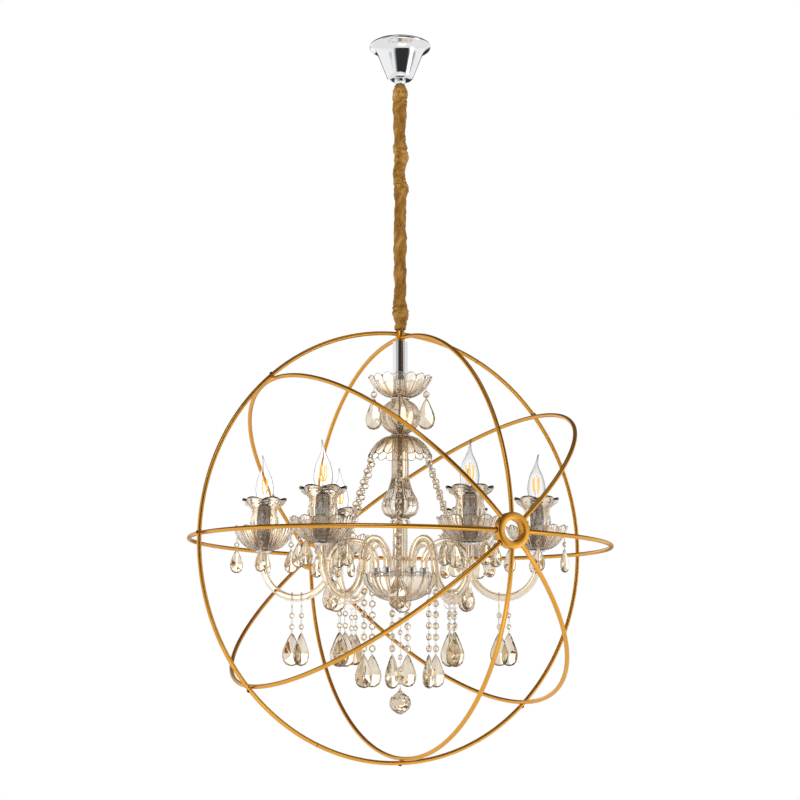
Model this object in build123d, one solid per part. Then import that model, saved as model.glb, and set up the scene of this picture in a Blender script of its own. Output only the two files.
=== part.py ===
from build123d import *
import math
import os

# Orb chandelier: a cage of gold tube rings round a six-light crystal fixture, hung on a sleeved chain.
# Millimetres, +Z up. The origin is the centre of the canopy's rim, where it meets the ceiling.
# +Y is the axis of the cage's two hubs. Heights named *_H are above the centre of the orb.

CLEAR = 0.3                 # running gap between pieces that sit against each other
HANG_CLEAR = 0.4            # gap over the eye of a hanging strand

# ceiling plate and canopy
ORB_DROP = 996.0            # ceiling to orb centre
CANOPY_RIM_R = 60.7
CANOPY_TOP_R = 57.5
CANOPY_HEIGHT = 73.0
CANOPY_WAIST_R = 45.0
CANOPY_WAIST_DEPTH = 21.0
CANOPY_FOOT_R = 26.0
CANOPY_FOOT_DEPTH = 68.0
CANOPY_BASE_R = 19.0
CANOPY_WALL = 1.2
CANOPY_SIDES = 24
BRACKET_LENGTH = 104.0
BRACKET_WIDTH = 16.0
BRACKET_THICK = 2.0
SCREW_SPACING = 82.5        # the two slots fit the screws of a ceiling outlet box
SLOT_LENGTH = 12.0
SLOT_R = 2.3
NIPPLE_R = 5.0
NIPPLE_BORE_R = 3.4
NIPPLE_END = 84.0
NUT_R = 8.5
NUT_THICK = 4.5
COLLAR_R = 11.0
COLLAR_HEIGHT = 9.0

# chain, loops and fabric sleeve
LOOP_R = 6.4                # centre line of the two end loops
LOOP_WIRE_R = 1.5
LINK_WIRE_R = 1.4
LINK_HALF_WIDTH = 6.2       # centre line
LINK_COUNT = 13             # the links share the drop evenly
WIRE_CORNER = 1.2           # corner to centre of a square wire, over its half thickness
SLEEVE_R = 13.0
SLEEVE_FOLD = 1.2           # depth of the folds
SLEEVE_FOLDS = 4
SLEEVE_BUNCH = 1.3          # swelling where the cloth is pushed together
SLEEVE_BUNCHES = 7
SLEEVE_TURNS = 1.6          # the folds wind round the chain
SLEEVE_LEVELS = 26
SLEEVE_SIDES = 14
SLEEVE_CLEAR = 0.3
SLEEVE_MOUTH_R = 10.4       # the ends open wider, over the loops
SLEEVE_MOUTH_DEPTH = 30.0
SLEEVE_TOP_GAP = 4.5        # below the collar
SLEEVE_FOOT_GAP = 4.0       # above the crown block

# cage
RING_R = 399.0              # centre line of the rings that run from hub to hub
TUBE_R = 4.0
TUBE_SIDES = 6
RIB_STEPS = 20              # straight stretches that make up each half ring
RIB_ANGLES = (-1.3, 41.4, 90.0, 131.4)      # each ring's tilt about the hub axis, from level
SEAM_ANGLE = 65.0           # where the two halves of the outer band meet
HUB_R = 31.0
HUB_BORE_R = 18.5
HUB_DEPTH = 16.0
RIB_SOCKET = 6.0            # depth of each rib end inside the hub wall
SOCKET_CLEAR = 0.2
SCREW_HEAD_R = 3.0
SCREW_HEAD_HEIGHT = 1.6
SCREW_SEAT_CLEAR = 0.05
CROWN_R = 9.0
CROWN_MARGIN = 2.6          # metal above the band and below the upright ring
CROWN_CUT = 20.0            # degrees of band cut through the crown block

# column
STEM_R = 14.0
ROD_R = 4.0
BORE_R = 4.6                # centre hole of every glass piece on the rod
DISH_R = 62.5
DISH_DEPTH = 39.0
DISH_FLAT_R = 19.0          # flat middle of both dishes, where the trims bear
DISH_FLUTE = 4.5            # how far the valleys between petals draw in at the rim
DISH_ROUNDNESS = 0.9        # low is round sided, high is cone shaped
TOP_DISH_PETALS = 16
TOP_DISH_TURN = -7.5        # brings a petal over each drop
DROP_DISH_PETALS = 18
TOP_DISH_H = 322.0          # rim of the upturned dish
DROP_DISH_H = 168.0         # rim of the downturned dish
COLLAR_TRIM_R = 18.5
COLLAR_TRIM_HEIGHT = 4.0
BALL_R = 39.5
BALL_HEIGHT = 67.0
BALL_FLUTES = 12
VASE_FOOT_H = 49.0
VASE_FLUTES = 12
VASE_FOOT_R = 19.5
VASE_R = 36.3
VASE_BELLY_RISE = 22.0      # widest place, above the foot
VASE_NECK_R = 16.5
VASE_NECK_RISE = 85.0
VASE_FLUTE = 2.4
KNOB_R = 19.3
KNOB_HEIGHT = 17.0
KNOB_EDGE = 5.0             # bevel round its two ends
TUBE_GLASS_R = 14.3
TUBE_GLASS_WALL = 2.4
ROD_COVER_R = 7.9
BOWL_R = 73.7
BOWL_RIM_H = -56.0
BOWL_DEPTH = 52.0
BOWL_FLAT_R = 12.0
BOWL_FLUTE = 4.5
BOWL_ROUNDNESS = 0.6
BOWL_PETALS = 18
BOWL_TURN = 10.0            # brings a petal over each strand
GLASS_WALL = 3.2
PLATE_R = 60.0
PLATE_THICK = 2.0
PLATE_H = -64.0
FINIAL_R = 8.5
FINIAL_HEIGHT = 14.0
FINIAL_FOOT_R = 4.0
FINIAL_TOP_R = 5.5
FINIAL_FLOOR = 3.0          # metal left under the blind hole, up to the rod
FINIAL_EYE_R = 3.6

# arms and candles
ARM_COUNT = 6
ARM_START = -90.0           # the first arm points at the front hub
ARM_TUBE_R = 7.0
ARM_TUBE_SIDES = 6
ARM_ARCH_STEPS = 6          # straight stretches in the inner and the outer bend
ARM_BEND_STEPS = 8
ARM_ROOT_R = 46.0
ARM_ARCH_R = 43.0
ARM_BEND_R = 64.0
ARM_BEND_H = -37.0          # height of the two bends' centres
FERRULE_R = 8.8
FERRULE_SIDES = 10
CANDLE_CAP_R = 15.4
CANDLE_CAP_HEIGHT = 5.0
CANDLE_CAP_FLARE = 3.0
CANDLE_FOOT_H = -17.0       # top of the arm's glass tube
PAN_R = 59.5
PAN_DEPTH = 44.0
PAN_FLAT_R = 15.0
PAN_FLUTE = 5.0
PAN_ROUNDNESS = 0.75
PAN_PETALS = 12
PAN_WALL = 3.0
CUP_RIM_R = 43.0
CUP_RIM_H = 87.5
CUP_NECK_R = 24.5
CUP_NECK_H = 70.0
CUP_BELLY_R = 27.5
CUP_BELLY_H = 46.0
CUP_FOOT_R = 15.0
CUP_PETALS = 6
CUP_WALL = 3.0
CUP_FLUTE = 1.6             # depth of the ribs at the belly
CUP_RIM_LOBE = 7.0          # how far the rim's lobes stand out and rise
CUP_RIM_RISE = 2.5
SOCKET_R = 13.3
SOCKET_TOP_H = 76.0
SOCKET_BORE_R = 7.6
SOCKET_SIDES = 12
CAP_R = 6.9
CAP_LENGTH = 25.0
BULB_R = 17.4
BULB_HEIGHT = 95.0          # glass only
BULB_NECK_R = 12.5
BULB_NECK_RISE = 6.0
BULB_BELLY_RISE = 31.0
BULB_SIDES = 8
CAP_EDGE = 2.5
TAIL_TIP_R = 1.2
TAIL_BEND = 5.0

# crystals
EYE_R = 1.0                 # half width of the wire pins between beads
BEAD_R = 7.0
BEAD_PITCH = 21.2
SMALL_BEAD_R = 5.4
SMALL_PITCH = 17.0
ALMOND_LENGTH = 62.0
ALMOND_WIDTH = 36.0
ALMOND_THICK = 13.0
ALMOND_WIDEST = 0.62        # share of the length from the point to the widest place
TOP_ALMOND = 0.98           # sizes of the smaller drops, as shares of the large one
PAN_ALMOND = 0.72
GARLAND_START = -120.0      # the garlands hang between the arms
GARLAND_COUNT = 6
GARLAND_BEADS = 11
GARLAND_FOOT_R = 146.0
GARLAND_FOOT_H = -64.0
TOP_DROP_COUNT = 4
TOP_DROP_R = 50.5
TOP_DROP_LEAD = 6.0         # bare wire above the first bead of each kind of drop
BOWL_STRAND_COUNT = 6
BOWL_STRAND_START = -70.0
BOWL_STRAND_BEADS = 6
BOWL_STRAND_R = 71.5
BOWL_STRAND_LEAD = 16.0
ARM_RING_R = 13.0
ARM_RING_WIRE_R = 1.2
ARM_RING_SPACING = 18.0     # between the two rings on each arm
ARM_DROP_BEADS = 2
ARM_DROP_LEAD = 5.0
PAN_DROP_COUNT = 4
PAN_DROP_R = 52.0
PAN_DROP_LEAD = 5.0
FINIAL_BEADS = 6
FINIAL_PITCH = 23.0
FINIAL_BALL_R = 20.6
FINIAL_BALL_HEIGHT = 48.0

ARM_TIP_R = ARM_ROOT_R + 2 * ARM_ARCH_R + 2 * ARM_BEND_R
LOW_POINT_R = ARM_ROOT_R + 2 * ARM_ARCH_R + ARM_BEND_R
LOW_POINT_H = ARM_BEND_H - ARM_BEND_R
BAND_R = RING_R + 2 * TUBE_R + CLEAR
CENTRE = Vector(0, 0, -ORB_DROP)


def level(height):
    """Height above the orb's centre, as a Z in the part's frame."""
    return height - ORB_DROP


def polar(radius, angle, z):
    turn = math.radians(angle)
    return Vector(radius * math.cos(turn), radius * math.sin(turn), z)


def flat(corners):
    """True when four corners lie in one plane."""
    a, b, c, d = corners
    normal = (b - a).cross(c - a)
    return abs(normal.normalized().dot(d - a)) < 1e-5


def skin(rings, closed=False):
    """A solid whose facets join ring after ring of points: closed ones are tubes with a hole."""
    pairs = list(zip(rings, rings[1:]))
    if closed:
        pairs.append((rings[-1], rings[0]))
    faces = []
    for low, high in pairs:
        for here, there in zip(range(len(low)), [*range(1, len(low)), 0]):
            corners = [low[here], low[there], high[there], high[here]]
            if flat(corners):
                faces.append(Face(Wire.make_polygon(corners, close=True)))
            else:
                faces.append(Face(Wire.make_polygon(corners[:3], close=True)))
                faces.append(Face(Wire.make_polygon([corners[0], *corners[2:]], close=True)))
    if not closed:
        faces.append(Face(Wire.make_polygon(rings[0], close=True)))
        faces.append(Face(Wire.make_polygon(rings[-1], close=True)))
    solid = Solid(Shell(faces))
    return solid if solid.volume > 0 else Solid(solid.wrapped.Reversed())


def lathe(profile, sides, closed=False, turn=0.0):
    """A turned piece with flat facets, from (radius, z) points."""
    rings = []
    for radius, z in profile:
        rings.append([polar(radius, turn + 360 * i / sides, z) for i in range(sides)])
    return skin(rings, closed)


def petalled(profile, petals, closed=True, turn=0.0):
    """A pressed-glass piece: (radius, z, flute) points, where flute draws in every other meridian."""
    rings = []
    for radius, z, flute, *lift in profile:
        ring = []
        for i in range(2 * petals):
            tip = i % 2 == 0
            rise = lift[0] if lift and tip else 0.0
            ring.append(polar(radius if tip else radius - flute, turn + 180 * i / petals, z + rise))
        rings.append(ring)
    return skin(rings, closed)


def at_arm(shape, index, radius=0.0):
    """A copy of a piece modelled on the +X side, turned to an arm's direction."""
    moved = Pos(radius, 0, 0) * shape
    return Rot(0, 0, ARM_START + 360 / ARM_COUNT * index) * moved




# ---------------------------------------------------------------- ceiling plate and canopy

def ceiling_bracket():
    bar = Box(BRACKET_LENGTH, BRACKET_WIDTH, BRACKET_THICK, align=(Align.CENTER, Align.CENTER, Align.MAX))
    slot = SlotOverall(SLOT_LENGTH, 2 * SLOT_R)
    for side in (-1, 1):
        bar -= extrude(Pos(side * SCREW_SPACING / 2, 0, -BRACKET_THICK) * slot, BRACKET_THICK)
    hole = RegularPolygon(NIPPLE_R + 2 * CLEAR, 12)
    return bar - extrude(Pos(0, 0, -BRACKET_THICK) * hole, BRACKET_THICK)


def threaded_nipple():
    return lathe([(NIPPLE_R, -NIPPLE_END), (NIPPLE_R, -CLEAR), (NIPPLE_BORE_R, -CLEAR),
                  (NIPPLE_BORE_R, -NIPPLE_END)], 12, closed=True)


def lock_nut():
    top = -BRACKET_THICK
    hole = (NIPPLE_R + CLEAR) / math.cos(math.pi / 6)
    foot = top - NUT_THICK
    return lathe([(NUT_R, foot), (NUT_R, top), (hole, top), (hole, foot)], 6, closed=True)


def canopy():
    hole = NIPPLE_R + 3 * CLEAR
    outer = [(hole, -CANOPY_HEIGHT), (CANOPY_BASE_R, -CANOPY_HEIGHT),
             (CANOPY_FOOT_R, -CANOPY_FOOT_DEPTH), (CANOPY_WAIST_R, -CANOPY_WAIST_DEPTH),
             (CANOPY_RIM_R - 4, -10.5), (CANOPY_RIM_R, -6.5), (CANOPY_RIM_R, -3), (CANOPY_TOP_R, 0)]
    inner = [(CANOPY_TOP_R - CANOPY_WALL, 0), (CANOPY_RIM_R - 6, -9),
             (CANOPY_WAIST_R - CANOPY_WALL, -CANOPY_WAIST_DEPTH),
             (CANOPY_FOOT_R - CANOPY_WALL, CANOPY_WALL - CANOPY_FOOT_DEPTH),
             (CANOPY_BASE_R - CANOPY_WALL, CANOPY_WALL - CANOPY_HEIGHT), (hole, CANOPY_WALL - CANOPY_HEIGHT)]
    return lathe(outer + inner, CANOPY_SIDES, closed=True)


def canopy_collar():
    top = -CANOPY_HEIGHT - CLEAR
    hole = NIPPLE_R + CLEAR
    return lathe([(hole, top - COLLAR_HEIGHT), (COLLAR_R - 2, top - COLLAR_HEIGHT), (COLLAR_R, top - 5),
                  (COLLAR_R, top), (hole, top)], 16, closed=True)


def square_ring(point, out, across, wire_radius):
    corner = wire_radius * WIRE_CORNER
    return [point + out * corner, point + across * corner, point - out * corner, point - across * corner]


def wire_loop(points, across, wire_radius):
    """A closed loop of square wire through flat points: across is the direction out of its plane."""
    rings = []
    for before, point, after in zip(points[-1:] + points[:-1], points, points[1:] + points[:1]):
        first = (point - before).normalized().cross(across)
        second = (after - point).normalized().cross(across)
        mitre = (first + second) / (1 + first.dot(second))
        rings.append(square_ring(point, mitre, across, wire_radius))
    return skin(rings, closed=True)


def loop_outline(centre, across, half_width, half_height, corner):
    """Eight corners of a loop with cut corners, in the upright plane normal to across."""
    up = Vector(0, 0, 1)
    side = up.cross(across)
    places = [(half_width, half_height - corner), (half_width - corner, half_height)]
    places += [(-x, z) for x, z in reversed(places)]
    places += [(-x, -z) for x, z in places]
    return [centre + side * x + up * z for x, z in places]


def eye(centre, radius, across, wire_radius):
    corner = radius * (2 - math.sqrt(2))
    return wire_loop(loop_outline(centre, across, radius, radius, corner), across, wire_radius)


# ---------------------------------------------------------------- chain and sleeve

ALONG_X = Vector(1, 0, 0)
ALONG_Y = Vector(0, 1, 0)
COLLAR_FOOT = -CANOPY_HEIGHT - CLEAR - COLLAR_HEIGHT
CROWN_TOP_H = BAND_R + TUBE_R + CROWN_MARGIN
CROWN_FOOT_H = RING_R - TUBE_R - CROWN_MARGIN
LOOP_REACH = LOOP_R + LOOP_WIRE_R * WIRE_CORNER
TOP_LOOP_Z = -NIPPLE_END - CLEAR - LOOP_REACH
ORB_LOOP_Z = level(CROWN_TOP_H) + CLEAR + LOOP_REACH
HOOK_GAP = WIRE_CORNER * (LOOP_WIRE_R + LINK_WIRE_R) + CLEAR
LINK_GAP = 2 * WIRE_CORNER * LINK_WIRE_R + CLEAR
CHAIN_TOP = TOP_LOOP_Z - LOOP_R + HOOK_GAP
CHAIN_FOOT = ORB_LOOP_Z + LOOP_R - HOOK_GAP
LINK_LENGTH = (CHAIN_TOP - CHAIN_FOOT + (LINK_COUNT - 1) * LINK_GAP) / LINK_COUNT


def canopy_loop():
    return eye(Vector(0, 0, TOP_LOOP_Z), LOOP_R, ALONG_Y, LOOP_WIRE_R)


def orb_loop():
    return eye(Vector(0, 0, ORB_LOOP_Z), LOOP_R, ALONG_Y, LOOP_WIRE_R)


def chain_link(index):
    across = ALONG_X if index % 2 == 0 else ALONG_Y
    middle = CHAIN_TOP - LINK_LENGTH / 2 - index * (LINK_LENGTH - LINK_GAP)
    corner = LINK_HALF_WIDTH * 0.55
    outline = loop_outline(Vector(0, 0, middle), across, LINK_HALF_WIDTH, LINK_LENGTH / 2, corner)
    return wire_loop(outline, across, LINK_WIRE_R)


def cord_sleeve():
    """Gathered cloth tube: wound folds and bunches outside, room for the links inside."""
    top = COLLAR_FOOT - SLEEVE_TOP_GAP
    foot = level(CROWN_TOP_H) + SLEEVE_FOOT_GAP
    room = (LINK_HALF_WIDTH + LINK_WIRE_R * WIRE_CORNER + SLEEVE_CLEAR) / math.cos(math.pi / SLEEVE_SIDES)
    rings = []
    for step in range(SLEEVE_LEVELS + 1):
        share = step / SLEEVE_LEVELS
        swell = SLEEVE_BUNCH * math.sin(2 * math.pi * SLEEVE_BUNCHES * share + 2 * math.sin(5 * share))
        ring = []
        for i in range(SLEEVE_SIDES):
            turn = 2 * math.pi * i / SLEEVE_SIDES
            fold = SLEEVE_FOLD * math.cos(SLEEVE_FOLDS * turn + 2 * math.pi * SLEEVE_TURNS * share)
            ring.append(polar(SLEEVE_R + swell + fold, math.degrees(turn), foot + (top - foot) * share))
        rings.append(ring)
    lining = [(SLEEVE_MOUTH_R, top), (room, top - SLEEVE_MOUTH_DEPTH), (room, foot + SLEEVE_MOUTH_DEPTH),
              (SLEEVE_MOUTH_R, foot)]
    for radius, z in lining:
        rings.append([polar(radius, 360 * i / SLEEVE_SIDES, z) for i in range(SLEEVE_SIDES)])
    return skin(rings, closed=True)


# ---------------------------------------------------------------- cage

SOCKET_ANGLE = math.degrees(math.asin((HUB_R - RIB_SOCKET) / RING_R))
HUB_MIDDLE = math.sqrt(RING_R ** 2 - HUB_R ** 2)


def half_ring(tilt, tube_radius=TUBE_R):
    """One bent tube from the rear hub to the front hub, with flat facets."""
    turn = math.radians(tilt)
    out_level = Vector(math.cos(turn), 0, math.sin(turn))
    across = Vector(-math.sin(turn), 0, math.cos(turn))
    corner = tube_radius / math.cos(math.pi / TUBE_SIDES)
    rings = []
    for step in range(RIB_STEPS + 1):
        place = math.radians(SOCKET_ANGLE - 90 + (180 - 2 * SOCKET_ANGLE) * step / RIB_STEPS)
        out = out_level * math.cos(place) + ALONG_Y * math.sin(place)
        ring = []
        for side in range(TUBE_SIDES):
            spin = 2 * math.pi * (side + 0.5) / TUBE_SIDES
            ring.append(CENTRE + out * (RING_R + corner * math.cos(spin)) + across * corner * math.sin(spin))
        rings.append(ring)
    return skin(rings)


def cage_ring(tilt):
    return [half_ring(tilt), half_ring(tilt + 180)]


def band_half(start, tube_radius=TUBE_R, sweep=180.0):
    """Half of the outer band: start is the angle of its first end, from +X towards +Z."""
    section = Plane(CENTRE, x_dir=(1, 0, 0), z_dir=(0, 0, -1))
    corner = tube_radius / math.cos(math.pi / TUBE_SIDES)
    outline = section * (Pos(BAND_R, 0) * RegularPolygon(corner, TUBE_SIDES, rotation=180 / TUBE_SIDES))
    axis = Axis(CENTRE, (0, -1, 0))
    return revolve(outline, axis, sweep).rotate(axis, start)


def hub(side):
    """Short thick ring that takes the eight tube ends: side is -1 at the front, 1 at the rear."""
    plane = Plane(CENTRE + ALONG_Y * side * (HUB_MIDDLE - HUB_DEPTH / 2), x_dir=(1, 0, 0), z_dir=(0, side, 0))
    ring = extrude(plane * (RegularPolygon(HUB_R, 24) - RegularPolygon(HUB_BORE_R, 24)), HUB_DEPTH)
    for tilt in RIB_ANGLES:
        for turn in (0, 180):
            ring -= half_ring(tilt + turn, TUBE_R + SOCKET_CLEAR)
    return ring


def crown():
    """Block at the top crossing: the band and the upright ring pass through it."""
    height = CROWN_TOP_H - CROWN_FOOT_H
    block = extrude(Plane((0, 0, level(CROWN_FOOT_H))) * RegularPolygon(CROWN_R, 16), height)
    block -= half_ring(90, TUBE_R + SOCKET_CLEAR)
    return block - band_half(90 - CROWN_CUT / 2, TUBE_R + SOCKET_CLEAR, CROWN_CUT)


def band_screws():
    heads = []
    for tilt in RIB_ANGLES:
        for turn in (0, 180):
            angle = math.radians(tilt + turn)
            out = Vector(math.cos(angle), 0, math.sin(angle))
            if out.Z < 0.99:
                seat = Plane(CENTRE + out * (BAND_R + TUBE_R + SCREW_SEAT_CLEAR), x_dir=(0, 1, 0), z_dir=out)
                heads.append(extrude(seat * RegularPolygon(SCREW_HEAD_R, 6), SCREW_HEAD_HEIGHT))
    return heads


# ---------------------------------------------------------------- column

OUTER_SHARES = (0.0, 0.5, 0.8, 1.0)
INNER_SHARES = (1.0, 0.65, 0.0)


def bowl_wall(flat_r, rim_r, depth, wall, flute, roundness):
    """(radius, z, flute) round a bowl's wall: up the outside, then down the inside."""
    profile = []
    for share in OUTER_SHARES:
        radius = flat_r + (rim_r - flat_r) * share
        profile.append((radius, depth * bowl_rise(share, roundness), flute * share ** 1.5))
    for share in INNER_SHARES:
        radius = flat_r + (rim_r - wall - flat_r) * share
        height = wall + (depth - wall) * bowl_rise(share, roundness)
        profile.append((radius, height, flute * share ** 1.5))
    return profile


def bowl_rise(share, roundness):
    """Height of the wall, as a share of the depth, at a share of the way out to the rim."""
    return 1 - (1 - share * share) ** roundness


def bowl_height_at(radius, flat_r, rim_r, depth, roundness):
    """How far the outside of a bowl's petal tips is above its foot, at a radius."""
    share = (radius - flat_r) / (rim_r - flat_r)
    for low, high in zip(OUTER_SHARES, OUTER_SHARES[1:]):
        if low <= share <= high:
            part = (share - low) / (high - low)
            rise = (1 - part) * bowl_rise(low, roundness) + part * bowl_rise(high, roundness)
            return depth * rise
    return depth


def dish(direction, rim_h, petals, turn=0.0):
    """Pressed dish on the rod: direction 1 opens upwards, -1 downwards."""
    wall = bowl_wall(DISH_FLAT_R, DISH_R, DISH_DEPTH, GLASS_WALL, DISH_FLUTE, DISH_ROUNDNESS)
    profile = [(BORE_R, 0, 0.0), *wall, (BORE_R, GLASS_WALL, 0.0)]
    flipped = [(radius, direction * z, flute) for radius, z, flute in profile]
    return petalled(moved_up(flipped, rim_h - direction * DISH_DEPTH), petals, turn=turn)


def moved_up(profile, height):
    return [(radius, z + level(height), *rest) for radius, z, *rest in profile]


def top_dish():
    return dish(1, TOP_DISH_H, TOP_DISH_PETALS, TOP_DISH_TURN)


def drop_dish():
    return dish(-1, DROP_DISH_H, DROP_DISH_PETALS)


def stem_tube():
    foot = level(TOP_DISH_H - DISH_DEPTH + GLASS_WALL + CLEAR)
    top = level(CROWN_FOOT_H) - CLEAR
    return lathe([(STEM_R, foot), (STEM_R, top), (BORE_R, top), (BORE_R, foot)], 20, closed=True)


def trim_ring(foot, height, radius, sides=16):
    waist = radius - 1.2
    return lathe([(waist, foot), (radius, foot + height / 2), (waist, foot + height), (BORE_R, foot + height),
                  (BORE_R, foot)], sides, closed=True)


BALL_TOP_H = TOP_DISH_H - DISH_DEPTH - COLLAR_TRIM_HEIGHT - 2 * CLEAR
BALL_FOOT_H = DROP_DISH_H + DISH_DEPTH + COLLAR_TRIM_HEIGHT + 2 * CLEAR
VASE_TOP_H = DROP_DISH_H + DISH_DEPTH - GLASS_WALL - CLEAR
KNOB_FOOT_H = VASE_FOOT_H - CLEAR - KNOB_HEIGHT
PLATE_TOP_H = PLATE_H + PLATE_THICK
BOWL_FOOT_H = BOWL_RIM_H - BOWL_DEPTH
FINIAL_TOP_H = BOWL_FOOT_H - CLEAR


def column_trims():
    """Chrome rings above and below the ball, and the spacer inside the bowl."""
    rings = [trim_ring(level(BALL_TOP_H + CLEAR), COLLAR_TRIM_HEIGHT, COLLAR_TRIM_R),
             trim_ring(level(BALL_FOOT_H - CLEAR - COLLAR_TRIM_HEIGHT), COLLAR_TRIM_HEIGHT, COLLAR_TRIM_R)]
    foot = BOWL_FOOT_H + GLASS_WALL + CLEAR
    rings.append(trim_ring(level(foot), PLATE_H - CLEAR - foot, ROD_COVER_R, 12))
    return rings


def fluted_ball():
    height = BALL_TOP_H - BALL_FOOT_H
    profile = [(BORE_R, 0, 0.0)]
    for angle in (-72, -48, -20, 20, 48, 72):
        turn = math.radians(angle)
        radius = BALL_R * math.cos(turn)
        profile.append((radius, height / 2 * (1 + math.sin(turn) / math.sin(math.radians(72))), radius * 0.05))
    profile.append((BORE_R, height, 0.0))
    return petalled(moved_up(profile, BALL_FOOT_H), BALL_FLUTES)


def fluted_vase():
    """Foot, belly and tapered neck: the points between them share out the rise."""
    top = VASE_TOP_H - VASE_FOOT_H
    swell = VASE_R - VASE_FOOT_R
    taper = VASE_R - VASE_NECK_R
    rise = VASE_NECK_RISE - VASE_BELLY_RISE
    profile = [(BORE_R, 0, 0.0), (VASE_FOOT_R, 0, VASE_FLUTE / 3),
               (VASE_FOOT_R + 0.65 * swell, 0.36 * VASE_BELLY_RISE, 0.75 * VASE_FLUTE),
               (VASE_R, VASE_BELLY_RISE, VASE_FLUTE),
               (VASE_R - 0.19 * taper, VASE_BELLY_RISE + 0.22 * rise, 0.85 * VASE_FLUTE),
               (VASE_R - 0.62 * taper, VASE_BELLY_RISE + 0.5 * rise, 0.5 * VASE_FLUTE),
               (VASE_NECK_R, VASE_NECK_RISE, VASE_FLUTE / 4),
               (VASE_NECK_R, top, VASE_FLUTE / 4), (BORE_R, top, 0.0)]
    return petalled(moved_up(profile, VASE_FOOT_H), VASE_FLUTES)


def vase_knob():
    profile = [(KNOB_R - KNOB_EDGE, 0), (KNOB_R, KNOB_EDGE), (KNOB_R, KNOB_HEIGHT - KNOB_EDGE),
               (KNOB_R - KNOB_EDGE, KNOB_HEIGHT), (BORE_R, KNOB_HEIGHT), (BORE_R, 0)]
    return lathe([(radius, z + level(KNOB_FOOT_H)) for radius, z in profile], 16, closed=True)


def column_tube(radius, bore, sides):
    top = level(KNOB_FOOT_H - CLEAR)
    foot = level(PLATE_TOP_H) + CLEAR
    return lathe([(radius, foot), (radius, top), (bore, top), (bore, foot)], sides, closed=True)


def glass_tube():
    return column_tube(TUBE_GLASS_R, TUBE_GLASS_R - TUBE_GLASS_WALL, 16)


def rod_cover():
    return column_tube(ROD_COVER_R, BORE_R, 12)


def centre_rod():
    foot = level(FINIAL_TOP_H - FINIAL_HEIGHT + FINIAL_FLOOR)
    return lathe([(ROD_R, foot), (ROD_R, level(CROWN_FOOT_H) - CLEAR)], 10)


def arm_plate():
    """Round plate in the bowl that holds the arms' ferrules."""
    foot = level(PLATE_H)
    top = foot + PLATE_THICK
    return lathe([(PLATE_R, foot), (PLATE_R, top), (BORE_R, top), (BORE_R, foot)], 24, closed=True)


def lower_bowl():
    wall = bowl_wall(BOWL_FLAT_R, BOWL_R, BOWL_DEPTH, GLASS_WALL, BOWL_FLUTE, BOWL_ROUNDNESS)
    profile = [(BORE_R, 0, 0.0), *wall, (BORE_R, GLASS_WALL, 0.0)]
    return petalled(moved_up(profile, BOWL_FOOT_H), BOWL_PETALS, turn=BOWL_TURN)


FINIAL_FOOT_H = FINIAL_TOP_H - FINIAL_HEIGHT
FINIAL_EYE_H = FINIAL_FOOT_H - FINIAL_EYE_R - EYE_R * WIRE_CORNER + 0.6


def finial_nut():
    foot = level(FINIAL_FOOT_H)
    collar = foot + FINIAL_HEIGHT
    profile = [(FINIAL_FOOT_R, foot), (FINIAL_R, foot + 0.29 * FINIAL_HEIGHT),
               (FINIAL_R, foot + 0.64 * FINIAL_HEIGHT), (FINIAL_TOP_R, collar)]
    blind = lathe([(ROD_R + CLEAR, foot + FINIAL_FLOOR - CLEAR), (ROD_R + CLEAR, collar + 1)], 10)
    return lathe(profile, 12) - blind + eye(Vector(0, 0, level(FINIAL_EYE_H)), FINIAL_EYE_R, ALONG_Y, EYE_R)


# ---------------------------------------------------------------- arms and candles

FERRULE_TOP_H = -45.0
ARM_FOOT_H = FERRULE_TOP_H + CLEAR


def glass_arm():
    """S-shaped glass tube in the XZ plane: up from the bowl, over, down and up to the candle."""
    bend = level(ARM_BEND_H)
    crest = Vector(ARM_ROOT_R + ARM_ARCH_R, 0, bend)
    dip = Vector(LOW_POINT_R, 0, bend)
    inner = [(crest, ARM_ARCH_R, 180 - 180 * step / ARM_ARCH_STEPS) for step in range(ARM_ARCH_STEPS)]
    outer = [(dip, -ARM_BEND_R, 180 * step / ARM_BEND_STEPS) for step in range(ARM_BEND_STEPS + 1)]
    rings = [arm_section(Vector(ARM_ROOT_R, 0, level(ARM_FOOT_H)), 180)]
    for centre, radius, angle in inner + outer:
        turn = math.radians(angle)
        point = centre + Vector(math.cos(turn), 0, math.sin(turn)) * radius
        rings.append(arm_section(point, angle))
    rings.append(arm_section(Vector(ARM_TIP_R, 0, level(CANDLE_FOOT_H)), 180))
    return skin(rings)


def arm_section(point, angle):
    """Six corners round a point of the arm: angle is where its bend's radius points."""
    turn = math.radians(angle)
    out = Vector(math.cos(turn), 0, math.sin(turn))
    ring = []
    for side in range(ARM_TUBE_SIDES):
        spin = 2 * math.pi * side / ARM_TUBE_SIDES
        ring.append(point + (out * math.cos(spin) + ALONG_Y * math.sin(spin)) * ARM_TUBE_R)
    return ring


CANDLE_CAP_FOOT_H = CANDLE_FOOT_H + CLEAR
PAN_FOOT_H = CANDLE_CAP_FOOT_H + CANDLE_CAP_HEIGHT + CLEAR
PAN_RIM_H = PAN_FOOT_H + PAN_DEPTH
CUP_FOOT_H = PAN_FOOT_H + PAN_WALL + CLEAR
SOCKET_FOOT_H = CUP_FOOT_H + CUP_WALL + CLEAR
CAP_FOOT_H = SOCKET_TOP_H - CAP_LENGTH
BULB_FOOT_H = SOCKET_TOP_H + CLEAR


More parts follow.
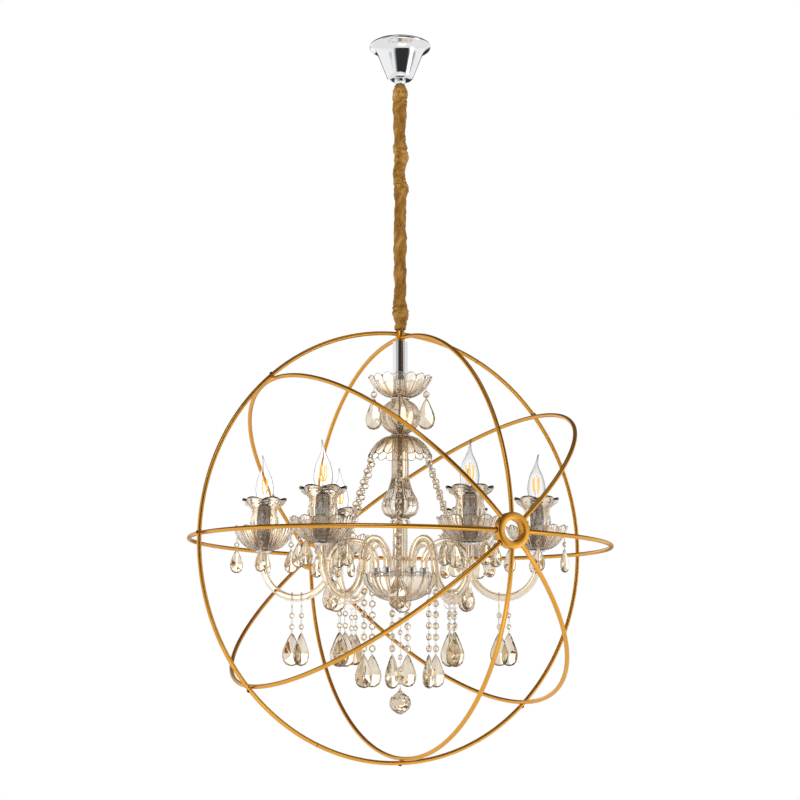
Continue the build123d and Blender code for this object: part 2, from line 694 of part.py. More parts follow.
def arm_ferrules(index):
    root = lathe([(FERRULE_R, level(PLATE_TOP_H)), (FERRULE_R, level(FERRULE_TOP_H))], FERRULE_SIDES)
    foot = level(CANDLE_CAP_FOOT_H)
    cap = lathe([(ARM_TUBE_R + 1, foot), (CANDLE_CAP_R, foot + CANDLE_CAP_FLARE),
                 (CANDLE_CAP_R, foot + CANDLE_CAP_HEIGHT)], 12)
    return [at_arm(root, index, ARM_ROOT_R), at_arm(cap, index, ARM_TIP_R)]


def candle_pan():
    """Deep scalloped drip pan."""
    wall = bowl_wall(PAN_FLAT_R, PAN_R, PAN_DEPTH, PAN_WALL, PAN_FLUTE, PAN_ROUNDNESS)
    return petalled(moved_up(wall, PAN_FOOT_H), PAN_PETALS, closed=False)


def candle_cup():
    """Ribbed cup round the candle, opening into a scalloped dish under the bulb."""
    belly = CUP_BELLY_H - CUP_FOOT_H
    neck = CUP_NECK_H - CUP_FOOT_H
    rim = CUP_RIM_H - CUP_FOOT_H
    lip = (CUP_RIM_LOBE, CUP_RIM_RISE)
    outer = [(CUP_FOOT_R, 0, CUP_FLUTE / 4), (CUP_BELLY_R, belly, CUP_FLUTE),
             (CUP_NECK_R, neck, CUP_FLUTE / 2), (CUP_RIM_R, rim, *lip)]
    inner = [(CUP_RIM_R - CUP_WALL, rim + CUP_WALL, *lip),
             (CUP_NECK_R - CUP_WALL, neck + CUP_WALL, CUP_FLUTE / 2),
             (CUP_BELLY_R - CUP_WALL, belly, CUP_FLUTE), (CUP_FOOT_R, CUP_WALL, CUP_FLUTE / 4)]
    return petalled(moved_up(outer + inner, CUP_FOOT_H), CUP_PETALS, closed=False)


def candle_socket():
    foot = level(SOCKET_FOOT_H)
    top = level(SOCKET_TOP_H)
    floor = level(CAP_FOOT_H) - CLEAR
    profile = [(SOCKET_R, foot), (SOCKET_R, top), (SOCKET_BORE_R, top), (SOCKET_BORE_R, floor)]
    return lathe(profile, SOCKET_SIDES)


def bulb():
    """Tailed candle bulb on its screw cap, the tail bent over."""
    foot = level(CAP_FOOT_H)
    glass = level(BULB_FOOT_H)
    neck = glass + BULB_NECK_RISE
    belly = glass + BULB_BELLY_RISE
    tip = glass + BULB_HEIGHT
    taper = tip - belly
    places = [(CAP_R - CAP_EDGE, foot, 0), (CAP_R, foot + CAP_EDGE, 0), (CAP_R, glass - CLEAR, 0),
              (BULB_NECK_R, neck, 0), (BULB_R, belly, 0), (0.78 * BULB_R, belly + 0.31 * taper, 0),
              (0.29 * BULB_R, belly + 0.62 * taper, 0.12 * TAIL_BEND),
              (0.11 * BULB_R, belly + 0.8 * taper, 0.4 * TAIL_BEND), (TAIL_TIP_R, tip, TAIL_BEND)]
    rings = []
    for radius, z, lean in places:
        rings.append([polar(radius, 360 * i / BULB_SIDES, z) + Vector(lean, 0, 0) for i in range(BULB_SIDES)])
    return skin(rings)


# ---------------------------------------------------------------- crystals

def bead_strand(start, end, count, bead_radius, tail=0.0):
    """Cut beads on wire eyes along a straight line, from start to end; tail is bare wire at the start."""
    along = (end - start).normalized()
    side = along.cross(ALONG_Y if abs(along.Y) < 0.5 else ALONG_X).normalized()
    front = along.cross(side)
    length = (end - start).length - tail
    pitch = length / count
    places = [(0.0, EYE_R)]
    if tail:
        places.append((tail, EYE_R))
    for bead in range(count):
        middle = tail + pitch * (bead + 0.5)
        places += [(middle, bead_radius), (tail + pitch * (bead + 1), EYE_R)]
    rings = []
    for place, radius in places:
        point = start + along * place
        rings.append([point + way * radius for way in (side, front, -side, -front)])
    return skin(rings)


def almond(top, facing, scale=1.0):
    """Pear-shaped cut drop: a flat outline with a raised facet point on each face."""
    length = ALMOND_LENGTH * scale
    half = ALMOND_WIDTH * scale / 2
    side = Vector(0, 0, 1).cross(facing)
    edge = [(0.62, 0.3), (1.0, ALMOND_WIDEST), (0.66, 0.92)]
    outline = [(0, 0), *edge, (0, 1.0), *[(-x, z) for x, z in reversed(edge)]]
    points = [top + side * half * x - Vector(0, 0, length * z) for x, z in outline]
    raised = ALMOND_THICK * scale / 2
    middle = top - Vector(0, 0, length * ALMOND_WIDEST)
    faces = []
    for apex in (middle + facing * raised, middle - facing * raised):
        for here, there in zip(points, points[1:] + points[:1]):
            faces.append(Face(Wire.make_polygon([here, there, apex], close=True)))
    return Solid(Shell(faces))


def outward(angle):
    return polar(1, angle, 0)


def drop(radius, angle, top_h, beads, pitch, bead_radius, lead, scale=1.0):
    """A hanging strand: beads over an almond drop, in two solids that touch at a wire eye."""
    start = polar(radius, angle, level(top_h))
    end = start - Vector(0, 0, lead + beads * pitch)
    strand = bead_strand(start, end, beads, bead_radius, lead)
    return [strand, almond(end - Vector(0, 0, CLEAR), outward(angle), scale)]


def garland(index):
    angle = GARLAND_START + 360 / GARLAND_COUNT * index
    start = polar(DISH_R - 2.5, angle, level(DROP_DISH_H) - HANG_CLEAR)
    end = polar(GARLAND_FOOT_R, angle, level(GARLAND_FOOT_H))
    chain = bead_strand(start, end, GARLAND_BEADS, BEAD_R)
    return [chain, almond(end - Vector(0, 0, CLEAR), outward(angle))]


def hang_height(foot_h, radius, *bowl):
    """Height for the top of a strand hung under a bowl's sloping wall."""
    return foot_h + bowl_height_at(radius - EYE_R, *bowl) - HANG_CLEAR


def top_drop(index):
    angle = GARLAND_START + 360 / TOP_DROP_COUNT * index
    top_h = hang_height(TOP_DISH_H - DISH_DEPTH, TOP_DROP_R, DISH_FLAT_R, DISH_R, DISH_DEPTH, DISH_ROUNDNESS)
    return drop(TOP_DROP_R, angle, top_h, 1, 2 * BEAD_R, BEAD_R, TOP_DROP_LEAD, TOP_ALMOND)


def bowl_strand(index):
    angle = BOWL_STRAND_START + 360 / BOWL_STRAND_COUNT * index
    top_h = hang_height(BOWL_FOOT_H, BOWL_STRAND_R, BOWL_FLAT_R, BOWL_R, BOWL_DEPTH, BOWL_ROUNDNESS)
    return drop(BOWL_STRAND_R, angle, top_h, BOWL_STRAND_BEADS, BEAD_PITCH, BEAD_R, BOWL_STRAND_LEAD)


def arm_drops(index):
    """Two clear rings looped round the arm's low point, each with a strand below."""
    pieces = []
    slope = math.pi / ARM_BEND_STEPS / 2
    rise = ARM_RING_SPACING / 2 * math.tan(slope)
    reach = ARM_RING_R + ARM_RING_WIRE_R * WIRE_CORNER
    top = LOW_POINT_H + rise + ARM_TUBE_R / math.cos(slope) + 2 * CLEAR
    for side in (-1, 1):
        place = side * ARM_RING_SPACING / 2
        middle = top - ARM_RING_R + ARM_RING_WIRE_R * WIRE_CORNER
        centre = Vector(LOW_POINT_R + place, 0, level(middle))
        pieces.append(eye(centre, ARM_RING_R, ALONG_X, ARM_RING_WIRE_R))
        foot = middle - reach - HANG_CLEAR
        pieces += drop(centre.X, 0, foot, ARM_DROP_BEADS, BEAD_PITCH, SMALL_BEAD_R, ARM_DROP_LEAD)
    return [at_arm(piece, index) for piece in pieces]


def pan_drops(index):
    top_h = hang_height(PAN_FOOT_H, PAN_DROP_R, PAN_FLAT_R, PAN_R, PAN_DEPTH, PAN_ROUNDNESS)
    pieces = []
    for number in range(PAN_DROP_COUNT):
        angle = 360 / PAN_DROP_COUNT * number
        pieces += drop(PAN_DROP_R, angle, top_h, 1, SMALL_PITCH, SMALL_BEAD_R, PAN_DROP_LEAD, PAN_ALMOND)
    return [at_arm(piece, index, ARM_TIP_R) for piece in pieces]


def finial_strand():
    start = Vector(0, 0, level(FINIAL_EYE_H - FINIAL_EYE_R - EYE_R * WIRE_CORNER) - HANG_CLEAR)
    end = start - Vector(0, 0, FINIAL_BEADS * FINIAL_PITCH)
    shares = [(0, 0.05), (0.16, 0.42), (0.32, 0.86), (0.55, 1.0), (0.82, 0.8), (1.0, 0.34)]
    peak = end.Z - CLEAR
    ball = lathe([(FINIAL_BALL_R * width, peak - FINIAL_BALL_HEIGHT * fall) for fall, width in shares], 10)
    return [bead_strand(start, end, FINIAL_BEADS, SMALL_BEAD_R), ball]


def write(name, pieces):
    shape = Compound(children=pieces) if isinstance(pieces, list) else pieces
    export_step(shape, f"parts/{name}.step")


def main():
    os.makedirs("parts", exist_ok=True)
    write("ceiling_bracket", ceiling_bracket())
    write("nipple_and_nut", [threaded_nipple(), lock_nut()])
    write("canopy", canopy())
    write("canopy_collar", canopy_collar())
    write("canopy_loop", canopy_loop())
    write("chain_links", [chain_link(index) for index in range(LINK_COUNT)])
    write("cord_sleeve", cord_sleeve())
    write("orb_loop", orb_loop())
    for name, tilt in zip(("level", "rising", "upright", "falling"), RIB_ANGLES):
        write(f"cage_ring_{name}", cage_ring(tilt))
    write("cage_band", [band_half(SEAM_ANGLE), band_half(SEAM_ANGLE + 180)])
    write("cage_hubs", [hub(-1), hub(1)])
    write("crown", crown())
    write("band_screws", band_screws())
    write("stem_tube", stem_tube())
    write("centre_rod", centre_rod())
    write("top_dish", top_dish())
    write("column_trims", [*column_trims(), rod_cover()])
    write("fluted_ball", fluted_ball())
    write("drop_dish", drop_dish())
    write("fluted_vase", fluted_vase())
    write("vase_knob", vase_knob())
    write("glass_tube", glass_tube())
    write("arm_plate", arm_plate())
    write("lower_bowl", lower_bowl())
    write("finial_nut", finial_nut())
    write("finial_strand", finial_strand())
    arm = glass_arm()
    pan = candle_pan()
    cup = candle_cup()
    socket = candle_socket()
    lamp = bulb()
    arms = range(ARM_COUNT)
    write("glass_arms", [at_arm(arm, index) for index in arms])
    write("arm_ferrules", [piece for index in arms for piece in arm_ferrules(index)])
    write("candle_pans", [at_arm(pan, index, ARM_TIP_R) for index in arms])
    write("candle_cups", [at_arm(cup, index, ARM_TIP_R) for index in arms])
    write("candle_sockets", [at_arm(socket, index, ARM_TIP_R) for index in arms])
    write("pan_drops", [piece for index in arms for piece in pan_drops(index)])
    write("garlands", [piece for index in range(GARLAND_COUNT) for piece in garland(index)])
    for index in arms:
        write(f"bulb_{index + 1}", at_arm(lamp, index, ARM_TIP_R))
        write(f"arm_drops_{index + 1}", arm_drops(index))
    for index in range(TOP_DROP_COUNT):
        write(f"top_drop_{index + 1}", top_drop(index))
    for index in range(BOWL_STRAND_COUNT):
        write(f"bowl_strand_{index + 1}", bowl_strand(index))


main()
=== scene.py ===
from math import asin, cos, degrees, exp, pi, radians, sin, sqrt

import bpy
from mathutils import Matrix, Vector, noise


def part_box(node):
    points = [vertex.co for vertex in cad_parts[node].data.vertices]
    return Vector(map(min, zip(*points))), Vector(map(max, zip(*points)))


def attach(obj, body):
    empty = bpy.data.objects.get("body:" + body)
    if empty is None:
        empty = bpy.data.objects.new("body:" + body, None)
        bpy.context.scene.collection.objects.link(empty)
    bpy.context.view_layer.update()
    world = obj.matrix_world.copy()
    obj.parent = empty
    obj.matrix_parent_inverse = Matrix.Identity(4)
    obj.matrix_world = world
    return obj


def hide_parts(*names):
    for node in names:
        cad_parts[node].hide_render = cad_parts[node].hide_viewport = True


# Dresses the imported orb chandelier. Sizes below are in millimetres, as in the part's source, and
# heights named *_H are above the centre of the orb. solid() turns millimetres into metres.

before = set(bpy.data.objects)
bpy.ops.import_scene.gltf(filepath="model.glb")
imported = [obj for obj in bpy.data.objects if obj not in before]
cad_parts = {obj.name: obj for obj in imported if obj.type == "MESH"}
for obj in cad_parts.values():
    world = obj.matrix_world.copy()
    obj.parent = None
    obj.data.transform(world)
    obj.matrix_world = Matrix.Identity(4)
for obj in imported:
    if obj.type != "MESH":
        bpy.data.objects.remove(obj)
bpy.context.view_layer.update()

MM = 0.001
ORB_DROP = 996

# ceiling cup, chain and sleeve
CANOPY_DEPTH = 73
COLLAR_R = 11
COLLAR_BORE_R = 5.3
COLLAR_HEIGHT = 9
LOOP_R = 6.4
LOOP_WIRE_R = 1.5
LINK_WIRE_R = 1.4
LINK_HALF_WIDTH = 6.2
LINK_COUNT = 13
LINK_END_GAP = 0.28
SLEEVE_R = 13
SLEEVE_MOUTH_R = 11
SLEEVE_TOP_GAP = 4.5
SLEEVE_FOOT_GAP = 4

# cage
RING_R = 399
TUBE_R = 4
RIB_ANGLES = (-1.3, 41.4, 90, 131.4)
SEAM_ANGLE = 65
HUB_R = 31
HUB_BORE_R = 18.5
HUB_DEPTH = 16
RIB_SOCKET = 6
BAND_R = RING_R + 2 * TUBE_R + 0.3
CROWN_R = 9
CROWN_TOP_H = BAND_R + TUBE_R + 2.6
CROWN_FOOT_H = RING_R - TUBE_R - 2.6
SCREW_HEAD_R = 3

# column
STEM_R = 14
BORE_R = 4.6
DISH_R = 62.5
DISH_DEPTH = 39
DISH_FLAT_R = 19
DISH_FLUTE = 4.5
DISH_ROUNDNESS = 0.9
TOP_DISH_H = 322
TOP_DISH_PETALS = 16
TOP_DISH_TURN = -7.5
DROP_DISH_H = 168
DROP_DISH_PETALS = 18
TRIM_R = 18.5
TRIM_HEIGHT = 4
BALL_R = 39.5
BALL_FLUTES = 12
BALL_END = 72   # how far towards its poles the ball's round outline goes
BALL_STEPS = 16
VASE_FOOT_H = 49
VASE_FOOT_R = 19.5
VASE_R = 36.3
VASE_NECK_R = 16.5
VASE_FLUTES = 12
KNOB_R = 19.3
KNOB_HEIGHT = 17
TUBE_GLASS_R = 14.3
TUBE_GLASS_WALL = 2.4
ROD_COVER_R = 7.9
BOWL_R = 73.7
BOWL_RIM_H = -56
BOWL_DEPTH = 52
BOWL_FLAT_R = 12
BOWL_FLUTE = 4.5
BOWL_ROUNDNESS = 0.6
BOWL_PETALS = 18
BOWL_TURN = 10
GLASS_WALL = 3.2
CLEAR = 0.3     # gap between pieces that stand on each other
RIM_RISE = 7    # from the valley between two petals up to a petal's rounded end
RIM_DROP = 5.5  # how far the valleys lie below the solid's rim
PLATE_R = 60
PLATE_H = -64
PLATE_THICK = 2
FINIAL_TOP_H = -108.3
FINIAL_HEIGHT = 14
FINIAL_R = 8.5
FINIAL_EYE_H = -126.5
FINIAL_EYE_R = 3.6

# arms and candles
ARM_COUNT = 6
ARM_START = -90
ARM_TUBE_R = 7
ARM_BORE_R = 4.6
ARM_ROOT_R = 46
ARM_ARCH_R = 43
ARM_BEND_R = 64
ARM_BEND_H = -37
ARM_FOOT_H = -44.7
ARM_TOP_H = -17
FERRULE_R = 8.8
FERRULE_FOOT_H = -62
CANDLE_CAP_R = 15.4
CANDLE_CAP_FOOT_H = -16.7
PAN_R = 59.5
PAN_DEPTH = 44
PAN_FLAT_R = 15
PAN_FLUTE = 5
PAN_ROUNDNESS = 0.75
PAN_PETALS = 12
PAN_WALL = 3
PAN_FOOT_H = -11.4
CUP_FOOT_H = -8.1
CUP_FOOT_R = 15
CUP_BELLY_R = 27.5
CUP_NECK_R = 24.5
CUP_RIM_R = 43
CUP_PETALS = 6
CUP_SIDES = 120
LENS_COUNT = 12         # oval cuts round a cup's belly
LENS_H = 43
LENS_HALF_HEIGHT = 18
LENS_HALF_WIDTH = 0.86  # as a share of the way to the next cut
LENS_DEPTH = 1.5
SOCKET_R = 13.3
SOCKET_MOUTH_R = 7.8
SOCKET_FOOT_H = -4.8
SOCKET_TOP_H = 76
CAP_R = 6.9
CAP_FOOT_H = 51
CAP_TURNS = 7
BULB_R = 17.4
BULB_HEIGHT = 95
BULB_WALL = 0.45
BULB_SIDES = 40
FILAMENT_R = 1.5
LEAD_R = 0.3
TAIL_BEND = 5

# crystals
BEAD_R = 7
BEAD_THICK = 0.62    # half thickness, as a share of the radius
EYE_HALF_WIDTH = 1.5
EYE_WIRE_R = 0.42
EYE_REACH = 0.8      # how far a wire eye goes into a crystal
SMALL_BEAD_R = 5.4
BEAD_PITCH = 21.2
SMALL_PITCH = 17
ALMOND_LENGTH = 62
ALMOND_WIDTH = 36
ALMOND_THICK = 13
ALMOND_WIDEST = 0.62
TOP_ALMOND = 0.98
PAN_ALMOND = 0.72
GARLAND_START = -120
GARLAND_COUNT = 6
GARLAND_BEADS = 11
GARLAND_TOP_R = 60
GARLAND_TOP_H = 167.6
GARLAND_FOOT_R = 146
GARLAND_FOOT_H = -64
TOP_DROP_COUNT = 4
TOP_DROP_R = 50.5
TOP_DROP_H = 301.25
BOWL_STRAND_COUNT = 6
BOWL_STRAND_START = -70
BOWL_STRAND_R = 71.5
BOWL_STRAND_H = -63.7
ARM_RING_R = 13
ARM_RING_WIRE_R = 1.2
ARM_RING_SPACING = 18
PAN_DROP_COUNT = 4
PAN_DROP_R = 52
PAN_DROP_H = 12.67
FINIAL_BEADS = 6
FINIAL_PITCH = 23
FINIAL_STRAND_H = -131.7
FINIAL_BALL_R = 20.6
FINIAL_BALL_HEIGHT = 48
GARLAND_SMALL_R = 4  # beads between the cut beads of a garland
FRONT = -118.3       # the side from which the drops are seen broad
TWIST = 95           # how far the drops turn to either side of it

ARM_TIP_R = ARM_ROOT_R + 2 * ARM_ARCH_R + 2 * ARM_BEND_R
LOW_POINT_R = ARM_ROOT_R + 2 * ARM_ARCH_R + ARM_BEND_R
UP = Vector((0, 0, 1))
HUB_AXIS = Vector((0, 1, 0))


def level(height):
    return height - ORB_DROP


def polar(radius, angle, z=0):
    turn = radians(angle)
    return Vector((radius * cos(turn), radius * sin(turn), z))


def upright(angle):
    """Unit vector in the XZ plane, angle degrees above +X."""
    turn = radians(angle)
    return Vector((cos(turn), 0, sin(turn)))


def spread(count, start):
    """(number from 1, angle) of places spread evenly round the axis."""
    return [(index + 1, start + 360 / count * index) for index in range(count)]


# ---- shapes: points, faces, tints, finishes

class Shape:
    """Points in millimetres, each with a depth of colour from 0 (clear) to 1 (deep) that is mostly painted
    shade, and faces with a material number each.
    """

    def __init__(self):
        self.points = []
        self.painted_shade_tints = []
        self.faces = []
        self.finishes = []

    def skin(self, rings, closed=False, caps=True, finish=0, painted_shade_tints=None, seam=False):
        """Quads between equal rings of points; closed joins last to first, seam leaves rings open."""
        first = len(self.points)
        start = len(self.faces)
        count = len(rings[0])
        for number, ring in enumerate(rings):
            self.points += [Vector(point) for point in ring]
            self.painted_shade_tints += painted_shade_tints[number] if painted_shade_tints else [0] * count
        spans = len(rings) if closed else len(rings) - 1
        for span in range(spans):
            low = first + span * count
            high = first + (span + 1) % len(rings) * count
            for i in range(count - 1 if seam else count):
                j = (i + 1) % count
                self.faces.append((low + i, low + j, high + j, high + i))
                self.finishes.append(finish)
        if caps and not closed:
            last = first + (len(rings) - 1) * count
            self.faces.append(tuple(reversed(range(first, first + count))))
            self.faces.append(tuple(range(last, last + count)))
            self.finishes += [finish, finish]
        if caps or closed:
            self.face_outward(start)
        return self

    def face_outward(self, start):
        """Turns the faces from start on so that they face out of the volume they close."""
        middle = self.points[self.faces[start][0]]
        volume = 0
        for face in self.faces[start:]:
            a = self.points[face[0]] - middle
            for i in range(1, len(face) - 1):
                volume += a.dot((self.points[face[i]] - middle).cross(self.points[face[i + 1]] - middle))
        if volume < 0:
            self.faces[start:] = [tuple(reversed(face)) for face in self.faces[start:]]

    def add(self, other, place=None):
        first = len(self.points)
        self.points += [place @ point for point in other.points] if place else list(other.points)
        self.painted_shade_tints += other.painted_shade_tints
        self.faces += [tuple(first + i for i in face) for face in other.faces]
        self.finishes += other.finishes
        return self


def smooth_line(points, steps):
    """Points along a Catmull-Rom curve through tuples of numbers; a doubled point makes a corner."""
    out = []
    for i in range(len(points) - 1):
        before = points[max(i - 1, 0)]
        here = points[i]
        there = points[i + 1]
        after = points[min(i + 2, len(points) - 1)]
        if here == there:
            continue
        for step in range(steps):
            t = step / steps
            out.append(tuple(
                0.5 * (2 * b + (c - a) * t + (2 * a - 5 * b + 4 * c - d) * t * t
                       + (3 * b - a - 3 * c + d) * t ** 3)
                for a, b, c, d in zip(before, here, there, after)))
    out.append(points[-1])
    return out


def lathe(profile, sides, closed=False, finish=0):
    """Turned piece about Z from (radius, z) points."""
    rings = [[polar(max(radius, 0.02), angle, z) for _, angle in spread(sides, 0)] for radius, z in profile]
    return Shape().skin(rings, closed, finish=finish)


HALF_PETAL = (0.1, 0.19, 0.28, 0.36, 0.395, 0.43, 0.465)
PETAL_PLACES = (-0.5, *[-place for place in reversed(HALF_PETAL)], 0, *HALF_PETAL)
RIB_COUNT = 4


def petal_form(place, ridge):
    """0 in the valley between petals, 1 on a petal's middle, with a raised line near each edge."""
    away = abs(place)
    line = exp(-((away - 0.425) / 0.03) ** 2)
    return cos(pi * away) ** 0.75 + ridge * line if away < 0.5 else 0


def petalled(profile, petals, closed=True, turn=0, ridge=0.22, ribs=0, places=PETAL_PLACES):
    """Pressed glass: (radius, z, flute, rise, depth of colour) points, drawn in by flute between the petals,
    with painted shade in the valleys between them.
    """
    rings = []
    painted_shade_tints = []
    for radius, z, flute, rise, tint_and_painted_shade in profile:
        ring = []
        ring_painted_shade = []
        for petal in range(petals):
            for place in places:
                form = petal_form(place, ridge)
                full = min(form, 1)
                ripple = ribs * cos(2 * pi * RIB_COUNT * place)
                reach = radius - flute * (1 - form) - abs(ribs) + ripple
                ring.append(polar(max(reach, 0.05), turn + 360 * (petal + place) / petals, z + rise * full))
                # painted shade: deeper colour in the valleys between the petals
                ring_painted_shade.append(min(1, tint_and_painted_shade + 0.75 * max(0, 1 - full * 1.5) * min(1, flute / 3)))
        rings.append(ring)
        painted_shade_tints.append(ring_painted_shade)
    return Shape().skin(rings, closed, painted_shade_tints=painted_shade_tints)


def bowl_rise(share, roundness):
    return 1 - (1 - share * share) ** roundness


def bowl_profile(flat_r, rim_r, depth, wall, flute, roundness, steps=11):
    """Up the outside, round a rolled lip, and down the inside of a petalled bowl."""
    end = pi / 2 * 0.97
    shares = [sin(end * step / (steps - 1)) / sin(end) for step in range(steps)]

    def side(low_r, high_r, foot, top, way):
        return [(low_r + (high_r - low_r) * share,
                 foot + (top - foot) * bowl_rise(share, roundness) - RIM_DROP * share ** 5,
                 flute * share ** 1.5, RIM_RISE * share ** 5, 0.8 * (1 - share) ** 1.6) for share in way]

    lip = ((0, -1.2, 0.25), (-0.6, -0.1, 0.1), (-wall / 2, 0.3, 0), (0.5 - wall, -0.2, 0.1),
           (-wall, -1.4, 0.25))
    return (side(flat_r, rim_r, 0, depth - 2.2, shares)
            + [(rim_r + out, depth + up - RIM_DROP, flute, RIM_RISE, tint_and_painted_shade) for out, up, tint_and_painted_shade in lip]
            + side(max(flat_r - wall, 0), rim_r - wall, wall, depth - 2.4, reversed(shares)))


def lifted(profile, height):
    return [(radius, z + level(height), *rest) for radius, z, *rest in profile]


def frames_along(points, closed=False):
    """(point, side, other side) along a path, turned as little as possible."""
    count = len(points)
    tangents = []
    for i in range(count):
        before = points[(i - 1) % count] if closed or i else points[0]
        after = points[(i + 1) % count] if closed or i < count - 1 else points[-1]
        tangents.append((after - before).normalized())
    side = tangents[0].orthogonal().normalized()
    out = []
    for point, tangent in zip(points, tangents):
        side = (side - tangent * side.dot(tangent)).normalized()
        out.append((point, side, tangent.cross(side)))
    return out


def loop(centre, side, other, count, start=0):
    """Points round an ellipse with side and other as its half axes."""
    turns = [2 * pi * (i + start) / count for i in range(count)]
    return [centre + side * cos(turn) + other * sin(turn) for turn in turns]


def tube(points, radius, sides, closed=False, finish=0, bore=None):
    """Round tube along a path, hollow if a bore is given."""
    places = frames_along(points, closed)
    rings = [loop(point, side * radius, other * radius, sides) for point, side, other in places]
    if bore is not None:
        rings += [loop(point, side * bore, other * bore, sides) for point, side, other in reversed(places)]
    return Shape().skin(rings, closed or bore is not None, finish=finish)


def circle(centre, radius, across, count):
    """Points round a circle whose axis is across."""
    side = UP.cross(across).normalized()
    return loop(centre, side * radius, across.cross(side) * radius, count)


def near(radius, z, *steps):
    """Profile points by how far out and up they are from a radius and height."""
    return [(radius + out, z + up) for out, up in steps]


# ---- materials

def plug(tree, made, inputs):
    """Sets each input to its value, or links it to another node's output."""
    for name, value in inputs.items():
        if isinstance(value, bpy.types.NodeSocket):
            tree.links.new(value, made.inputs[name])
        else:
            made.inputs[name].default_value = value


def node(tree, kind, inputs=None, **settings):
    made = tree.nodes.new(f"ShaderNode{kind}")
    for name, value in settings.items():
        setattr(made, name, value)
    plug(tree, made, inputs or {})
    return made


def calc(tree, operation, *values):
    return node(tree, "Math", dict(enumerate(values)), operation=operation).outputs["Value"]


def principled(mat):
    return mat.node_tree.nodes["Principled BSDF"]


def dress(mat, inputs):
    plug(mat.node_tree, principled(mat), inputs)


def new_material(name, base, metallic=0, roughness=0.5, transmission=0, ior=1.5):
    mat = bpy.data.materials.new(name)
    mat.use_nodes = True
    mat.diffuse_color = (*base, 1)
    dress(mat, {"Base Color": (*base, 1), "Metallic": metallic, "Roughness": roughness,
                "Transmission Weight": transmission, "IOR": ior})
    return mat


def grain(tree, scale, detail, stretch=(1, 1, 1)):
    """A noise pattern in the part's own metres, stretched along its axes."""
    place = node(tree, "TexCoord").outputs["Object"]
    mapping = node(tree, "Mapping", {"Vector": place, "Scale": stretch})
    noisy = node(tree, "TexNoise", {"Vector": mapping.outputs["Vector"], "Scale": scale, "Detail": detail})
    return noisy.outputs["Fac"]


def ramp(tree, source, stops):
    """Colours at (place, colour) stops, chosen by source."""
    made = node(tree, "ValToRGB", {"Fac": source})
    elements = made.color_ramp.elements
    while len(elements) < len(stops):
        elements.new(0.5)
    for element, (place, colour) in zip(elements, stops):
        element.position = place
        element.color = (*colour, 1)
    return made.outputs["Color"]


def span(tree, source, low, high):
    """Turns a 0 to 1 pattern into a number from low to high."""
    return node(tree, "MapRange", {"Value": source, "To Min": low, "To Max": high}).outputs["Result"]


def bump(mat, source, strength, distance):
    made = node(mat.node_tree, "Bump", {"Height": source, "Strength": strength, "Distance": distance})
    dress(mat, {"Normal": made.outputs["Normal"]})


def painted_shade_of(tree):
    return node(tree, "Attribute", attribute_name="tint_and_painted_shade").outputs["Fac"]


def metal(name, light, dark, roughness, spread, scale, relief=0):
    """Metal whose colour and roughness drift a little, with a fine grain."""
    mat = new_material(name, light, 1, roughness)
    tree = mat.node_tree
    wear = grain(tree, scale * 5, 5)
    dress(mat, {"Base Color": ramp(tree, grain(tree, scale, 4), [(0.3, dark), (0.7, light)]),
                "Roughness": span(tree, wear, roughness - spread, roughness + spread)})
    if relief:
        bump(mat, grain(tree, scale * 30, 2), relief, 0.0003)
    return mat


def glass_with_painted_shade(name, clear, deep, roughness, ior, ripples, edge):
    """Glass painted deeper in colour where its painted shade attribute is high, and with painted dark
    outlines where it is seen edge on.
    """
    mat = new_material(name, clear, 0, roughness, 1, ior)
    tree = mat.node_tree
    share = calc(tree, "MULTIPLY_ADD", grain(tree, 60, 2), 0.12, painted_shade_of(tree))
    facing = node(tree, "LayerWeight", {"Blend": 0.35}).outputs["Facing"]
    # painted dark outline: the colour deepens where the glass is seen edge on
    share = calc(tree, "MULTIPLY_ADD", calc(tree, "POWER", facing, 2.2), edge, share)
    middle = tuple((a + b) / 2 for a, b in zip(clear, deep))
    dress(mat, {"Base Color": ramp(tree, share, [(0.06, clear), (0.45, middle), (0.95, deep)])})
    if ripples:
        bump(mat, grain(tree, 55, 0), ripples, 0.001)
    return mat


GOLD = metal("satin gold", (0.86, 0.43, 0.07), (0.80, 0.38, 0.055), 0.33, 0.05, 30, relief=0.06)
# near-black gold: painted shade in the slots round the tube ends at the hubs, and the dark seam joints of the
# band
GOLD_SEAM_AND_SLOT_SHADE = metal("gold seam and slot painted shade", (0.10, 0.05, 0.015), (0.03, 0.015, 0.006), 0.6, 0.1, 60)
BRASS = metal("brass wire", (0.70, 0.46, 0.16), (0.52, 0.31, 0.09), 0.28, 0.08, 60, relief=0.2)
CHROME = metal("polished chrome", (0.86, 0.87, 0.89), (0.80, 0.81, 0.84), 0.06, 0.035, 12)
SOCKET = metal("socket chrome", (0.42, 0.42, 0.44), (0.32, 0.32, 0.34), 0.07, 0.03, 12)
ZINC = metal("zinc plate", (0.62, 0.64, 0.66), (0.44, 0.46, 0.48), 0.42, 0.1, 90, relief=0.3)
DARK = metal("dark steel", (0.10, 0.085, 0.07), (0.04, 0.034, 0.028), 0.42, 0.1, 80, relief=0.3)
# edge and deep set how dark the painted outlines and painted shade lines are; the bulb glass is clear and its
# grey outlines are painted
GLASS = glass_with_painted_shade("champagne glass", (0.95, 0.90, 0.82), (0.46, 0.30, 0.13), 0.01, 1.5, 0.02, 0.75)
ARM_GLASS = glass_with_painted_shade("arm glass", (0.91, 0.84, 0.73), (0.46, 0.30, 0.14), 0.01, 1.48, 0.01, 1.05)
CRYSTAL = glass_with_painted_shade("cut crystal", (0.86, 0.79, 0.67), (0.56, 0.39, 0.20), 0, 1.54, 0, 0.35)
BULB = glass_with_painted_shade("bulb glass", (0.985, 0.985, 0.985), (0.10, 0.10, 0.105), 0, 1.2, 0, 1.9)


